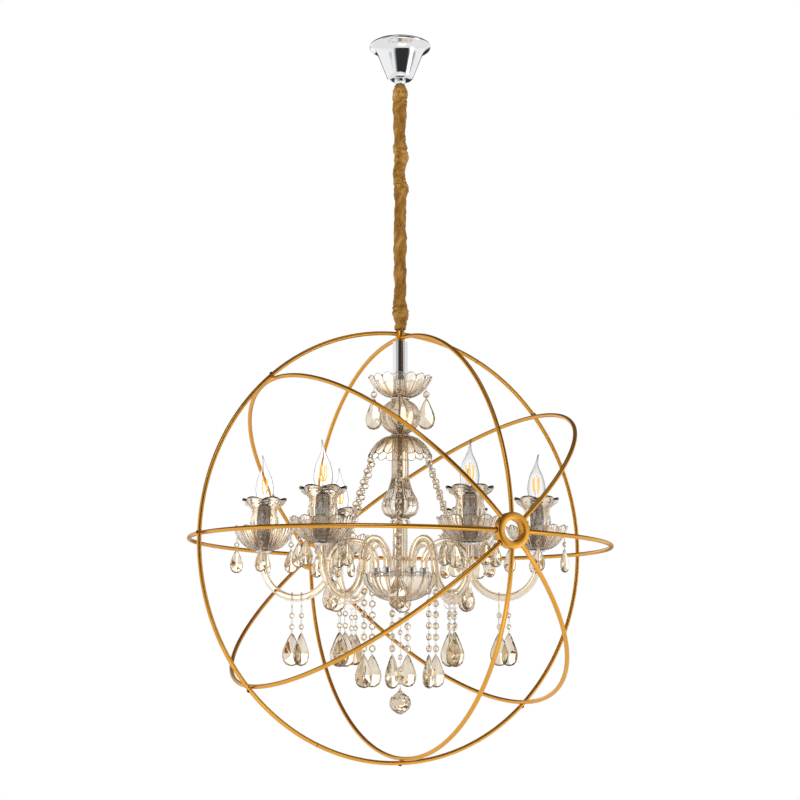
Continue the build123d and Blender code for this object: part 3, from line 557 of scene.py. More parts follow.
def glow_material():
    mat = new_material("filament glow", (0.95, 0.45, 0.10), 0, 0.6)
    tree = mat.node_tree
    colour = ramp(tree, grain(tree, 700, 1), [(0.35, (0.95, 0.40, 0.06)), (0.6, (1, 0.62, 0.22))])
    dress(mat, {"Base Color": colour, "Emission Color": colour, "Emission Strength": 0.7})
    return mat


def cloth_material():
    """Crinkled organza: a gold brown cross weave with threads that catch the light, its colour deepened by
    painted shade from the sleeve's folds.
    """
    mat = new_material("crinkled organza", (0.42, 0.20, 0.035), 0.35, 0.42)
    tree = mat.node_tree
    folds = grain(tree, 46, 4, (1, 1, 0.45))
    # painted shade from the point attribute, with random tone from the noise
    colour = ramp(tree, calc(tree, "MULTIPLY_ADD", folds, 0.45, painted_shade_of(tree)), [
        (0.15, (0.15, 0.055, 0.006)), (0.45, (0.36, 0.15, 0.015)), (0.68, (0.52, 0.24, 0.03)),
        (0.92, (0.84, 0.5, 0.13))])
    place = node(tree, "TexCoord").outputs["Object"]
    threads = [node(tree, "TexWave", {"Vector": place, "Scale": 520, "Distortion": 2, "Detail": 1},
                    bands_direction=direction).outputs["Fac"] for direction in ("Z", "DIAGONAL")]
    bump(mat, calc(tree, "MAXIMUM", *threads), 0.35, 0.0003)
    dress(mat, {"Base Color": colour, "Roughness": span(tree, folds, 0.32, 0.55), "Sheen Weight": 0.15,
                "Sheen Roughness": 0.4, "Sheen Tint": (1, 0.8, 0.45, 1)})
    return mat


GLOW = glow_material()
CLOTH = cloth_material()


# ---- pieces

def solid(name, shape, materials, node_name, sharp=None, body="orb"):
    """Makes a piece in metres, smooth but for edges sharper than sharp degrees (None is all flat)."""
    mesh = bpy.data.meshes.new(name)
    mesh.from_pydata([point * MM for point in shape.points], [], shape.faces)
    for mat in materials:
        mesh.materials.append(mat)
    mesh.polygons.foreach_set("material_index", shape.finishes)
    mesh.polygons.foreach_set("use_smooth", [sharp is not None] * len(mesh.polygons))
    # point attribute that carries the painted shade into the materials
    mesh.attributes.new("tint_and_painted_shade", "FLOAT", "POINT").data.foreach_set("value", shape.painted_shade_tints)
    mesh.validate()
    mesh.update()
    if sharp is not None:
        mesh.set_sharp_from_angle(angle=radians(sharp))
    obj = bpy.data.objects.new(name, mesh)
    bpy.context.collection.objects.link(obj)
    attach(obj, body)
    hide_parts(node_name)
    return obj


def at_arm(angle, radius=0):
    """Moves a shape made about Z to the line of the arm at angle."""
    return Matrix.Rotation(radians(angle), 4, "Z") @ Matrix.Translation((radius, 0, 0))


def bored(radius, foot, top, chamfer=0.5, bore=BORE_R):
    """Profile of a plain round piece with a bore and chamfered edges."""
    return [(bore, foot), *near(radius, foot, (-chamfer, 0), (0, chamfer)),
            *near(radius, top, (0, -chamfer), (-chamfer, 0)), (bore, top)]


# ceiling cup, chain and sleeve

def wire_loop(name, node_name, body):
    """Round wire loop in the middle of the node it stands for."""
    low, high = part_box(node_name)
    middle = Vector((0, 0, (low[2] + high[2]) / 2 / MM))
    wire = tube(circle(middle, LOOP_R, HUB_AXIS, 36), LOOP_WIRE_R, 12, True)
    solid(name, wire, [BRASS], node_name, 60, body)


def build_ceiling():
    outer = smooth_line([
        (5.9, -73), (19, -73), (19, -73), (23.2, -71.6), (26.2, -67.2), (30.4, -57),
        (37, -40), (42.4, -25.5), (45.8, -18.4), (50.2, -13.2), (55.6, -9.8), (59.4, -7.4),
        (60.7, -4.6), (59.8, -1.8), (57.5, -0.05)], 5)
    inner = smooth_line([
        (56.3, -0.05), (56, -7), (50, -12), (44.5, -20), (30, -55), (24.4, -67),
        (18, -71.8), (5.9, -71.8)], 4)
    cup = lathe(outer + inner, 96, closed=True)
    solid("canopy_shell", cup, [CHROME], "canopy", 38, "ceiling_plate")
    top = -CANOPY_DEPTH - CLEAR
    foot = top - COLLAR_HEIGHT
    collar = [(COLLAR_BORE_R, top),
              *near(COLLAR_R, top, (-0.5, 0), (0, -0.5), (0, -4.2), (-0.5, -5), (-1.6, -6.6)),
              *near(COLLAR_R, foot, (-2, 0.4), (-2.4, 0)), (COLLAR_BORE_R, foot)]
    nut = lathe(collar, 48, closed=True)
    solid("canopy_collar_nut", nut, [CHROME], "canopy_collar", 35, "ceiling_plate")
    wire_loop("hang_loop", "canopy_loop", "ceiling_plate")


def link_path(middle, half_height, across):
    """Stadium outline of one chain link."""
    side = UP.cross(across)
    straight = half_height - LINK_HALF_WIDTH
    path = []
    for half in (1, -1):
        for step in range(25):
            out = upright(180 * step / 24) * LINK_HALF_WIDTH
            path.append(middle + half * (side * out.x + UP * (straight + out.z)))
    return path


def build_chain():
    wire_loop("orb_hanger", "orb_loop", "orb_hook")
    low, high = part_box("chain_links")
    top = high[2] / MM - LINK_END_GAP
    foot = low[2] / MM + LINK_END_GAP
    gap = 2 * LINK_WIRE_R * 1.2 + CLEAR
    length = (top - foot - 2 * LINK_WIRE_R + (LINK_COUNT - 1) * gap) / LINK_COUNT
    shape = Shape()
    for index in range(LINK_COUNT):
        across = Vector((1, 0, 0)) if index % 2 == 0 else HUB_AXIS
        place = top - LINK_WIRE_R - length / 2 - index * (length - gap)
        shape.add(tube(link_path(Vector((0, 0, place)), length / 2, across), LINK_WIRE_R, 10, True))
    solid("chain", shape, [BRASS], "chain_links", 60, "chain")


SLEEVE_LAP = radians(368)                    # the two long edges lap at the seam
SLEEVE_BUNCHES = (0.045, 0.285, 0.42, 0.93)  # places where the cloth is pushed together, from the top


def build_sleeve():
    """Crinkled cloth tube: wound folds, bunches and fine creases, one layer thick, painted darker where the
    folds sink in.
    """
    top = -CANOPY_DEPTH - CLEAR - COLLAR_HEIGHT - SLEEVE_TOP_GAP + 1.5
    foot = level(CROWN_TOP_H) + SLEEVE_FOOT_GAP - 1.5
    rows = 620
    columns = 104
    rings = []
    painted_shade_tints = []
    for row in range(rows + 1):
        share = row / rows
        z = top + (foot - top) * share
        bunch = sum(exp(-((share - place) / 0.034) ** 2) for place in SLEEVE_BUNCHES)
        sway = Vector((noise.noise((share * 15, 3.1, 0)), noise.noise((share * 15, 7.7, 1)), 0)) * 3.6
        pinch = 3 * noise.noise((share * 24, 5.5, 2))
        ends = min(1, share / 0.02, (1 - share) / 0.02)
        ring = []
        ring_painted_shade = []
        for column in range(columns + 1):
            turn = SLEEVE_LAP * column / columns
            wind = turn + 2 * pi * 1.6 * share + 1.2 * noise.noise((share * 14, 0.3, 9))
            round_x = cos(wind)
            round_y = sin(wind)
            fold = noise.noise((round_x * 1.5, round_y * 1.5, share * 15))
            crease = 1 - 2 * abs(noise.noise((round_x * 2.6, round_y * 2.6, share * (34 + 18 * bunch))))
            fine = 1 - 2 * abs(noise.noise((round_x * 5.5, round_y * 5.5, share * 90 + 40)))
            scrunch = 1 - 2 * abs(noise.noise((round_x * 0.7 + 2, round_y * 0.7, share * 62)))
            height = 2.1 * fold + 1.4 * crease + (0.5 + 1.9 * min(1, bunch)) * scrunch + 0.6 * fine
            radius = SLEEVE_R - 2.8 + 2.2 * bunch + pinch + height + (0.5 if column > columns - 4 else 0)
            radius = SLEEVE_MOUTH_R + (radius - SLEEVE_MOUTH_R) * ends
            radius = min(max(radius, 9.4), 16.4)
            ring.append(polar(radius, degrees(turn), z) + sway * ends)
            # painted shade: darker where the cloth sinks in, lighter where it stands out
            ring_painted_shade.append(min(1, max(0, 0.24 + 0.11 * height)))
        rings.append(ring)
        painted_shade_tints.append(ring_painted_shade)
    shape = Shape().skin(rings, caps=False, painted_shade_tints=painted_shade_tints, seam=True)
    piece = solid("sleeve", shape, [CLOTH], "cord_sleeve", 80, "chain")


# cage

RIB_ENDS = [tilt + turn for tilt in RIB_ANGLES for turn in (0, 180)]
CENTRE = Vector((0, 0, -ORB_DROP))


def rib_path(tilt, steps=150):
    """Half a ring from one hub to the other, tilt degrees above +X."""
    socket = degrees(asin((HUB_R - RIB_SOCKET) / RING_R))
    path = []
    for step in range(steps + 1):
        place = upright(socket - 90 + (180 - 2 * socket) * step / steps) * RING_R
        path.append(CENTRE + upright(tilt) * place.x + HUB_AXIS * place.z)
    return path


def build_cage():
    for name, tilt in zip(("level", "rising", "upright", "falling"), RIB_ANGLES):
        shape = Shape()
        shape.add(tube(rib_path(tilt), TUBE_R, 16))
        shape.add(tube(rib_path(tilt + 180), TUBE_R, 16))
        solid(f"ring_{name}", shape, [GOLD], f"cage_ring_{name}", 60)
    shape = tube(circle(CENTRE, BAND_R, HUB_AXIS, 360), TUBE_R, 16, True)
    for turn in (SEAM_ANGLE, SEAM_ANGLE + 180):
        middle = CENTRE + upright(turn) * BAND_R
        along = upright(turn).cross(HUB_AXIS) * 0.5
        shape.add(tube([middle - along, middle + along], TUBE_R + 0.12, 16, finish=1))
    solid("outer_band", shape, [GOLD, GOLD_SEAM_AND_SLOT_SHADE], "cage_band", 60)
    build_hubs()
    foot = level(CROWN_FOOT_H)
    top = level(CROWN_TOP_H)
    block = (near(CROWN_R, foot, (-1.2, 0), (-0.2, 0.5), (0, 1.4))
             + near(CROWN_R, top, (0, -1.4), (-0.4, -0.4), (-1.6, 0)))
    solid("crown_block", lathe(block, 48), [GOLD], "crown", 50)
    socket = [(1.3, 1.65), (1.1, 0.9), (0.1, 0.9)]
    head = lathe(near(SCREW_HEAD_R, 0, (0, -0.3), (0, 0.9), (-0.7, 1.5)) + socket, 24)
    heads = Shape()
    for out in map(upright, RIB_ENDS):
        if out.z < 0.99:
            place = Matrix.Translation(CENTRE + out * (BAND_R + TUBE_R))
            heads.add(head, place @ out.to_track_quat("Z", "Y").to_matrix().to_4x4())
    solid("band_screw_heads", heads, [DARK], "band_screws", 30)


def build_hubs():
    """Turned rings at both ends of the hub axis, with a dark ring of painted shade round each tube end where
    it goes into its slot.
    """
    half = HUB_DEPTH / 2
    back = (near(HUB_BORE_R, -half, (0, 1), (0.3, 0.3), (1, 0))
            + near(HUB_R, -half, (-1, 0), (-0.3, 0.3), (0, 1)))
    profile = back + [(radius, -z) for radius, z in reversed(back)]
    middle = sqrt(RING_R ** 2 - HUB_R ** 2)
    shape = Shape()
    for side in (-1, 1):
        centre = CENTRE + HUB_AXIS * side * middle
        place = Matrix.Translation(centre) @ Matrix.Rotation(pi / 2, 4, "X")
        shape.add(lathe(profile, 96, closed=True), place)
        for out in map(upright, RIB_ENDS):
            foot = centre + out * (HUB_R - 0.6)
            # dark ring at the hub's wall: painted shade in the slot round the tube end
            shape.add(tube([foot, foot + out * 0.75], TUBE_R + 1.2, 20, finish=1))
    solid("hub_rings", shape, [GOLD, GOLD_SEAM_AND_SLOT_SHADE], "cage_hubs", 35)


# column

def build_column():
    foot = level(TOP_DISH_H - DISH_DEPTH + GLASS_WALL + CLEAR)
    stem = bored(STEM_R, foot, level(CROWN_FOOT_H) - CLEAR)
    solid("chrome_stem", lathe(stem, 64, closed=True), [CHROME], "stem_tube", 40)
    wall = bowl_profile(DISH_FLAT_R, DISH_R, DISH_DEPTH, GLASS_WALL, DISH_FLUTE, DISH_ROUNDNESS)
    dish = [(BORE_R, 0, 0, 0, 0.9), *wall, (BORE_R, GLASS_WALL, 0, 0, 0.9)]
    upper = lifted(dish, TOP_DISH_H - DISH_DEPTH)
    solid("upper_dish", petalled(upper, TOP_DISH_PETALS, turn=TOP_DISH_TURN), [GLASS], "top_dish",
          50)
    turned = [(radius, level(DROP_DISH_H) + DISH_DEPTH - z, flute, -rise, tint_and_painted_shade)
              for radius, z, flute, rise, tint_and_painted_shade in dish]
    solid("canopy_dish", petalled(turned, DROP_DISH_PETALS), [GLASS], "drop_dish", 50)
    build_trims()
    build_ball_and_vase()
    build_bowl()


def ring_profile(foot, height, radius):
    rim = near(radius, foot, (-1.2, 0), (-0.3, 0.25 * height), (0, height / 2), (-0.3, 0.75 * height),
               (-1.2, height))
    return [(BORE_R, foot), *rim, (BORE_R, foot + height)]


BALL_TOP_H = TOP_DISH_H - DISH_DEPTH - TRIM_HEIGHT - 2 * CLEAR
BALL_FOOT_H = DROP_DISH_H + DISH_DEPTH + TRIM_HEIGHT + 2 * CLEAR
VASE_TOP_H = DROP_DISH_H + DISH_DEPTH - GLASS_WALL - CLEAR
KNOB_FOOT_H = VASE_FOOT_H - CLEAR - KNOB_HEIGHT
BOWL_FOOT_H = BOWL_RIM_H - BOWL_DEPTH


def build_trims():
    shape = Shape()
    foot = BOWL_FOOT_H + GLASS_WALL + CLEAR
    for low, height, radius, sides in ((BALL_TOP_H + CLEAR, TRIM_HEIGHT, TRIM_R, 64),
                                       (BALL_FOOT_H - CLEAR - TRIM_HEIGHT, TRIM_HEIGHT, TRIM_R, 64),
                                       (foot, PLATE_H - CLEAR - foot, ROD_COVER_R, 40)):
        shape.add(lathe(ring_profile(level(low), height, radius), sides, closed=True))
    solid("chrome_trims", shape, [CHROME], "column_trims", 30)


def build_ball_and_vase():
    height = BALL_TOP_H - BALL_FOOT_H
    profile = [(BORE_R, 0, 0, 0, 0.6)]
    for step in range(BALL_STEPS + 1):
        slope = radians(BALL_END * (2 * step / BALL_STEPS - 1))
        radius = BALL_R * cos(slope)
        rise = (1 + sin(slope) / sin(radians(BALL_END))) / 2
        profile.append((radius, height * rise, 0.06 * radius, 0, 0.5 * abs(sin(slope)) ** 3))
    profile.append((BORE_R, height, 0, 0, 0.6))
    ball = petalled(lifted(profile, BALL_FOOT_H), BALL_FLUTES, ridge=0)
    solid("glass_ball", ball, [GLASS], "fluted_ball", 55)
    top = VASE_TOP_H - VASE_FOOT_H
    swell = smooth_line([
        (VASE_FOOT_R - 0.6, 0, 0.8, 0, 0.5), (VASE_FOOT_R, 2, 0.8, 0, 0.45), (30.4, 7.9, 1.8, 0, 0.3),
        (VASE_R, 22, 2.4, 0, 0.05), (33, 36, 2.1, 0, 0.05), (24.2, 53.5, 1.3, 0, 0.25),
        (VASE_NECK_R + 0.6, 78, 0.7, 0, 0.5), (VASE_NECK_R, 96, 0.6, 0, 0.5),
        (VASE_NECK_R, top, 0.6, 0, 0.4)], 5)
    profile = [(BORE_R, 0, 0, 0, 0.8), *swell, (BORE_R, top, 0, 0, 0.5)]
    vase = petalled(lifted(profile, VASE_FOOT_H), VASE_FLUTES, ridge=0)
    solid("glass_vase", vase, [GLASS], "fluted_vase", 55)
    foot = level(KNOB_FOOT_H)
    top = foot + KNOB_HEIGHT
    side = smooth_line(near(KNOB_R, foot, (-5, 0), (-2, 1.4), (0, 6))
                       + near(KNOB_R, top, (0, -6), (-2, -1.4), (-5, 0)), 4)
    knob = lathe([(BORE_R, foot), *side, (BORE_R, top)], 64, closed=True)
    solid("glass_knob", knob, [GLASS], "vase_knob", 40)
    top = foot - CLEAR
    foot = level(PLATE_H + PLATE_THICK) + CLEAR
    glass = bored(TUBE_GLASS_R, foot, top, 0.4, TUBE_GLASS_R - TUBE_GLASS_WALL)
    solid("column_glass", lathe(glass, 56, closed=True), [ARM_GLASS], "glass_tube", 40)
    cover = bored(ROD_COVER_R, foot, top, 0.4)
    solid("column_cover", lathe(cover, 56, closed=True), [CHROME], "column_trims", 40)


def build_bowl():
    wall = bowl_profile(BOWL_FLAT_R, BOWL_R, BOWL_DEPTH, GLASS_WALL, BOWL_FLUTE, BOWL_ROUNDNESS)
    profile = [(BORE_R, 0, 0, 0, 1), *wall, (BORE_R, GLASS_WALL, 0, 0, 1)]
    bowl = petalled(lifted(profile, BOWL_FOOT_H), BOWL_PETALS, turn=BOWL_TURN)
    solid("petal_bowl", bowl, [GLASS], "lower_bowl", 50)
    foot = level(PLATE_H)
    plate = bored(PLATE_R, foot, foot + PLATE_THICK)
    solid("ferrule_plate", lathe(plate, 72, closed=True), [CHROME], "arm_plate", 30)
    top = level(FINIAL_TOP_H)
    nut = smooth_line([
        (4, top - FINIAL_HEIGHT), (6.4, top - 12.6), (FINIAL_R, top - 9.6), (FINIAL_R, top - 5),
        (6.9, top - 2.2), (5.5, top)], 4)
    eye = circle(Vector((0, 0, level(FINIAL_EYE_H))), FINIAL_EYE_R, HUB_AXIS, 28)
    shape = lathe(nut, 40).add(tube(eye, 1, 10, True))
    solid("finial_cap", shape, [CHROME], "finial_nut", 50)


# arms and candles

def arm_path():
    """Up from the bowl, over the arch, down round the low bend and up to the candle."""
    arch = Vector((ARM_ROOT_R + ARM_ARCH_R, 0, level(ARM_BEND_H)))
    bend = Vector((LOW_POINT_R, 0, level(ARM_BEND_H)))
    return [Vector((ARM_ROOT_R, 0, level(ARM_FOOT_H))),
            *[arch + upright(180 - 180 * step / 32) * ARM_ARCH_R for step in range(33)],
            *[bend + upright(180 + 180 * step / 40) * ARM_BEND_R for step in range(1, 41)],
            Vector((ARM_TIP_R, 0, level(ARM_TOP_H)))]


PAN_PLACES = tuple(i / 24 - 0.5 for i in range(24))


def pan_shape():
    wall = bowl_profile(PAN_FLAT_R, PAN_R, PAN_DEPTH, PAN_WALL, PAN_FLUTE, PAN_ROUNDNESS, 12)
    return petalled(lifted(wall, PAN_FOOT_H), PAN_PETALS, closed=False, ridge=0.15, ribs=0.45,
                    places=PAN_PLACES)


def cup_form(angle):
    """1 on a lobe of the cup's rim, 0 between two lobes."""
    return abs(cos(radians(CUP_PETALS * angle / 2))) ** 0.8


def lens_cut(angle, height):
    """How deep the oval cuts round the cup's belly go at a place."""
    aside = abs((angle * LENS_COUNT / 360 + 0.5) % 1 - 0.5) * 2
    above = (height - LENS_H) / LENS_HALF_HEIGHT
    return LENS_DEPTH * max(0, 1 - above ** 2 - (aside / LENS_HALF_WIDTH) ** 2)


def cup_shape():
    """Belly with oval lens cuts, straight neck and a rim of six lobes with rolled tips."""
    outer = smooth_line([
        (12, 0, 0, 0, 0.5), (CUP_FOOT_R, 0.6, 0, 0, 0.5), (17.5, 9, 0, 0, 0.45),
        (23.5, 27, 0, 0, 0.1), (CUP_BELLY_R, 48, 0, 0, 0.05), (26.8, 57, 0, 0, 0.1),
        (CUP_NECK_R, 66, 0, 0, 0.25), (CUP_NECK_R, 71.5, 0.4, 0, 0.3), (27, 76.8, 1.6, 0.3, 0.2),
        (33, 80.8, 3.4, 0.9, 0.05), (39.6, 84.4, 5.2, 2.2, 0), (CUP_RIM_R - 0.3, 88.4, 5.8, 3.8, 0)], 4)
    lip = [(CUP_RIM_R, 90.4, 5.8, 4.2, 0), (CUP_RIM_R - 0.8, 92, 5.8, 4.4, 0),
           (CUP_RIM_R - 2.4, 92.6, 5.8, 4.4, 0), (CUP_RIM_R - 3.8, 91.8, 5.8, 4.2, 0)]
    inner = smooth_line([
        (37.4, 87.4, 5.2, 2.4, 0), (31.8, 83.6, 3.4, 0.9, 0.05), (25.6, 79.6, 1.6, 0.3, 0.2),
        (CUP_NECK_R - 3, 73.5, 0.4, 0, 0.3), (CUP_NECK_R - 3, 66, 0, 0, 0.25),
        (23.6, 57, 0, 0, 0.1), (24.2, 48, 0, 0, 0.05), (20.5, 27, 0, 0, 0.1),
        (14.5, 9, 0, 0, 0.45), (12, 3.2, 0, 0, 0.5)], 3)
    rings = []
    painted_shade_tints = []
    for number, (radius, z, flute, rise, tint_and_painted_shade) in enumerate(outer + lip + inner):
        ring = []
        ring_painted_shade = []
        for _, angle in spread(CUP_SIDES, 0):
            form = cup_form(angle)
            cut = lens_cut(angle, z) if number < len(outer) + len(lip) else 0
            ring.append(polar(radius - flute * (1 - form) - cut, angle, z + level(CUP_FOOT_H) + rise * form))
            # painted shade: a dark line round each lens cut and deeper colour between the lobes
            rim = 0.25 if 0 < cut < 0.35 else 0
            ring_painted_shade.append(min(1, tint_and_painted_shade + 0.5 * (1 - form) * min(1, flute / 4) + rim))
        rings.append(ring)
        painted_shade_tints.append(ring_painted_shade)
    return Shape().skin(rings, painted_shade_tints=painted_shade_tints)


def socket_shape():
    foot = level(SOCKET_FOOT_H)
    top = level(SOCKET_TOP_H)
    return lathe(near(SOCKET_R, foot, (-1, 0), (0, 1), (0, 20), (-0.6, 20.6), (-0.6, 22), (0, 22.6))
                 + near(SOCKET_R, top, (0, -6), (-0.8, -5.2), (-0.8, -1), (-1.6, 0))
                 + near(SOCKET_MOUTH_R, top, (0.8, 0), (0, -0.8), (0, -24)), 56)


def bulb_shape():
    """Thin glass candle bulb with a tail bent to one side, LED filaments and a screw cap."""
    foot = level(SOCKET_TOP_H) + CLEAR
    outline = smooth_line([
        (CAP_R, 0, 0), (9.6, 2, 0), (12.5, 6, 0), (15.6, 15, 0), (BULB_R, 31, 0),
        (13.6, 51, 0), (8.6, 62.5, 0.1), (5, 71, 0.5), (2.9, 79, 1.6), (1.9, 86, 3),
        (1.2, BULB_HEIGHT, TAIL_BEND)], 5)
    rings = []
    painted_shade_tints = []
    for points, wall in ((outline, 0), (outline[-9::-1], BULB_WALL)):
        for radius, z, bend in points:
            middle = Vector((bend, 0, foot + z))
            size = max(radius - wall, 0.3)
            rings.append([middle + polar(size, angle) for _, angle in spread(BULB_SIDES, 0)])
            # painted shade: grey at the neck and, on the outside, towards the tail
            painted_shade_tints.append([max(0, 0.7 - z / 14, 0 if wall else (z - 54) / 80)] * BULB_SIDES)
    shape = Shape().skin(rings, painted_shade_tints=painted_shade_tints)
    stem = smooth_line([
        (4.6, 0.6), (3.4, 6), (2.2, 12), (1.6, 20), (2, 23), (0.6, 25)], 3)
    shape.add(lathe([(radius, foot + z) for radius, z in stem], 20))
    for _, turn in spread(4, 45):
        low = polar(2, turn, foot + 15)
        high = polar(6.4, turn + 14, foot + 49)
        middle = polar(6.8, turn + 5, foot + 31)
        line = [low.lerp(middle, 0.35), low.lerp(middle, 0.7), middle, middle.lerp(high, 0.5), high]
        shape.add(tube(line, FILAMENT_R, 10, finish=1))
        for wire in ([polar(1.4, turn, foot + 12), line[0]], [high, polar(1.5, turn, foot + 54)]):
            shape.add(tube(wire, LEAD_R, 6, finish=2))
    base = level(CAP_FOOT_H)
    cap = [(CAP_R - 2.5, base), (CAP_R - 0.5, base + 2.2)]
    for turn in range(CAP_TURNS):
        cap += near(CAP_R, base + 3.2 + turn * 2.8, (-0.7, 0), (0, 0.9), (0, 1.5), (-0.7, 2.3))
    cap.append((CAP_R - 0.2, foot - 0.1))
    return shape.add(lathe(cap, 32, finish=2))


def build_arms():
    arm = tube(arm_path(), ARM_TUBE_R, 28, bore=ARM_BORE_R)
    pan = pan_shape()
    cup = cup_shape()
    socket = socket_shape()
    lamp = bulb_shape()
    root = lathe(near(FERRULE_R, level(FERRULE_FOOT_H), (-0.6, 0), (0, 0.6), (0, 4), (-0.7, 4.6), (-0.7, 6.4),
                      (0, 7), (0, 16), (-0.8, 17)), 40)
    foot = level(CANDLE_CAP_FOOT_H)
    cap = lathe(near(ARM_TUBE_R, foot, (0.6, 0), (1.4, 0.3))
                + near(CANDLE_CAP_R, foot, (-1, 2.5), (0, 3.3), (0, 4.5), (-0.5, 5)), 56)
    for number, angle in spread(ARM_COUNT, ARM_START):
        at_tip = at_arm(angle, ARM_TIP_R)
        ferrules = Shape().add(root, at_arm(angle, ARM_ROOT_R)).add(cap, at_tip)
        for name, shape, finish, node_name, slot, sharp in (
                ("glass_arm", Shape().add(arm, at_arm(angle)), ARM_GLASS, "glass_arms", "tinted_glass", 60),
                ("ferrules", ferrules, CHROME, "arm_ferrules", "chrome", 35),
                ("drip_pan", Shape().add(pan, at_tip), GLASS, "candle_pans", "tinted_glass", 50),
                ("petal_cup", Shape().add(cup, at_tip), GLASS, "candle_cups", "tinted_glass", 50),
                ("lamp_socket", Shape().add(socket, at_tip), SOCKET, "candle_sockets", "chrome", 30)):
            solid(f"{name}_{number}", shape, [finish], node_name, sharp)
        solid(f"lamp_{number}_bulb", Shape().add(lamp, at_tip), [BULB, GLOW, CHROME], f"bulb_{number}",
              50, f"lamp_{number}")


# crystals

BEAD_RINGS = (  # size, lift, turn, and the painted shade of its corners by turns, which darkens some facets
    (0.02, -1, 0.5, 0.25, 0.25), (0.5, -1, 0.5, 0.25, 0.25), (0.86, -0.45, 0, 0.5, 0.1),
    (1, -0.1, 0.5, 0.35, 0.35), (1, 0.1, 0.5, 0.35, 0.35), (0.86, 0.45, 0, 0.1, 0.5),
    (0.5, 1, 0.5, 0.25, 0.25), (0.02, 1, 0.5, 0.25, 0.25))


def bead(middle, facing, along, radius):
    """Octagon-cut crystal: a flat table on each face and two rows of facets round it."""
    side = along.cross(facing).normalized() * radius
    thick = facing * radius * BEAD_THICK
    rings = [loop(middle + thick * lift, side * size, along * radius * size, 8, turn)
             for size, lift, turn, *_ in BEAD_RINGS]
    return Shape().skin(rings, painted_shade_tints=[[first, second] * 4 for *_, first, second in BEAD_RINGS])


def wire_eye(middle, facing, along, length):
    """Slim oval wire link that joins two crystals."""
    side = along.cross(facing).normalized() * EYE_HALF_WIDTH
    return tube(loop(middle, along * length / 2, side, 14), EYE_WIRE_R, 6, True, finish=1)


PEAR = ((0, 0), (0.16, 0.04), (0.34, 0.13), (0.52, 0.25), (0.72, 0.38), (0.9, 0.5), (1, 0.63),
        (0.97, 0.76), (0.82, 0.88), (0.52, 0.965), (0.2, 0.995))


def almond(top, facing, scale=1):
    """Pear-shaped cut drop: a thin girdle and star facets that meet at the widest place."""
    length = ALMOND_LENGTH * scale
    half = ALMOND_WIDTH * scale / 2
    thick = ALMOND_THICK * scale / 2
    side = UP.cross(facing).normalized()
    outline = list(PEAR) + [(0, 1)] + [(-x, z) for x, z in reversed(PEAR[1:])]
    rim = [side * half * x - UP * length * z for x, z in outline]
    middle = UP * -length * ALMOND_WIDEST
    shape = Shape()
    count = len(rim)
    stars = count // 2
    for sign in (1, -1):
        first = len(shape.points)
        shape.points += [top + point + facing * sign * 0.5 for point in rim]
        rise = facing * sign * thick
        shape.points += [top + rim[2 * i].lerp(middle, 0.14) + rise * 0.4 for i in range(stars)]
        shape.points.append(top + middle + rise)
        # painted shade: a darker girdle and every third star facet darker
        shape.painted_shade_tints += [0.55] * count + [0.1 if i % 3 else 0.5 for i in range(stars)] + [0.15]
        for i in range(stars):
            a, b, c = (first + (2 * i + k) % count for k in range(3))
            d, e = first + count + i, first + count + (i + 1) % stars
            for face in ((a, b, d), (b, e, d), (b, c, e), (d, e, first + count + stars)):
                shape.faces.append(face if sign > 0 else tuple(reversed(face)))
                shape.finishes.append(0)
    below = count + stars + 1
    for i in range(count):
        j = (i + 1) % count
        shape.faces.append((i, below + i, below + j, j))
        shape.finishes.append(0)
    shape.face_outward(0)
    return shape


def hung_facing(radius, angle, top_h):
    """Which way a free-hanging drop has turned: mostly to the front, each by its own angle."""
    swing = noise.noise((radius * 0.37 + 1.3, angle * 0.21 + 4.1, top_h * 0.11))
    return FRONT + TWIST * swing


def strand(start, end, count, radius, facing, lead=0, small=0):
    """Cut beads with wire eyes between them, and small beads on those, after a lead of bare wire."""
    along = (end - start).normalized()
    length = (end - start).length
    pitch = (length - lead) / count
    face = (facing - along * facing.dot(along)).normalized()
    shape = Shape()
    gap = pitch - 2 * radius
    if lead > 1:
        shape.add(wire_eye(start + along * (lead + gap / 2) / 2, face, along, lead + gap / 2 + EYE_REACH))
    for number in range(count):
        middle = start + along * (lead + pitch * (number + 0.5))
        shape.add(bead(middle, face, along, radius))
        if number:
            shape.add(wire_eye(middle - along * pitch / 2, face, along, gap + 2 * EYE_REACH))
            if small:
                shape.add(bead(middle - along * pitch / 2, face, along, small))
    shape.add(wire_eye(end - along * gap / 4, face, along, gap / 2 + 1.4))
    return shape


def drop(radius, angle, top_h, beads, pitch, bead_radius, lead, scale=1, turned=0, free=True):
    """A hanging strand: turned is how far its arm is turned; a drop that isn't free faces outward."""
    start = polar(radius, angle, level(top_h))
    end = start - UP * (lead + beads * pitch)
    facing = polar(1, hung_facing(radius, angle + turned, top_h) - turned if free else angle)
    shape = strand(start, end, beads, bead_radius, facing, lead)
    shape.add(almond(end - UP * CLEAR, facing, scale))
    return shape


def hanging(name, shape, body, node_name):
    solid(name, shape, [CRYSTAL, CHROME], node_name, body=body)


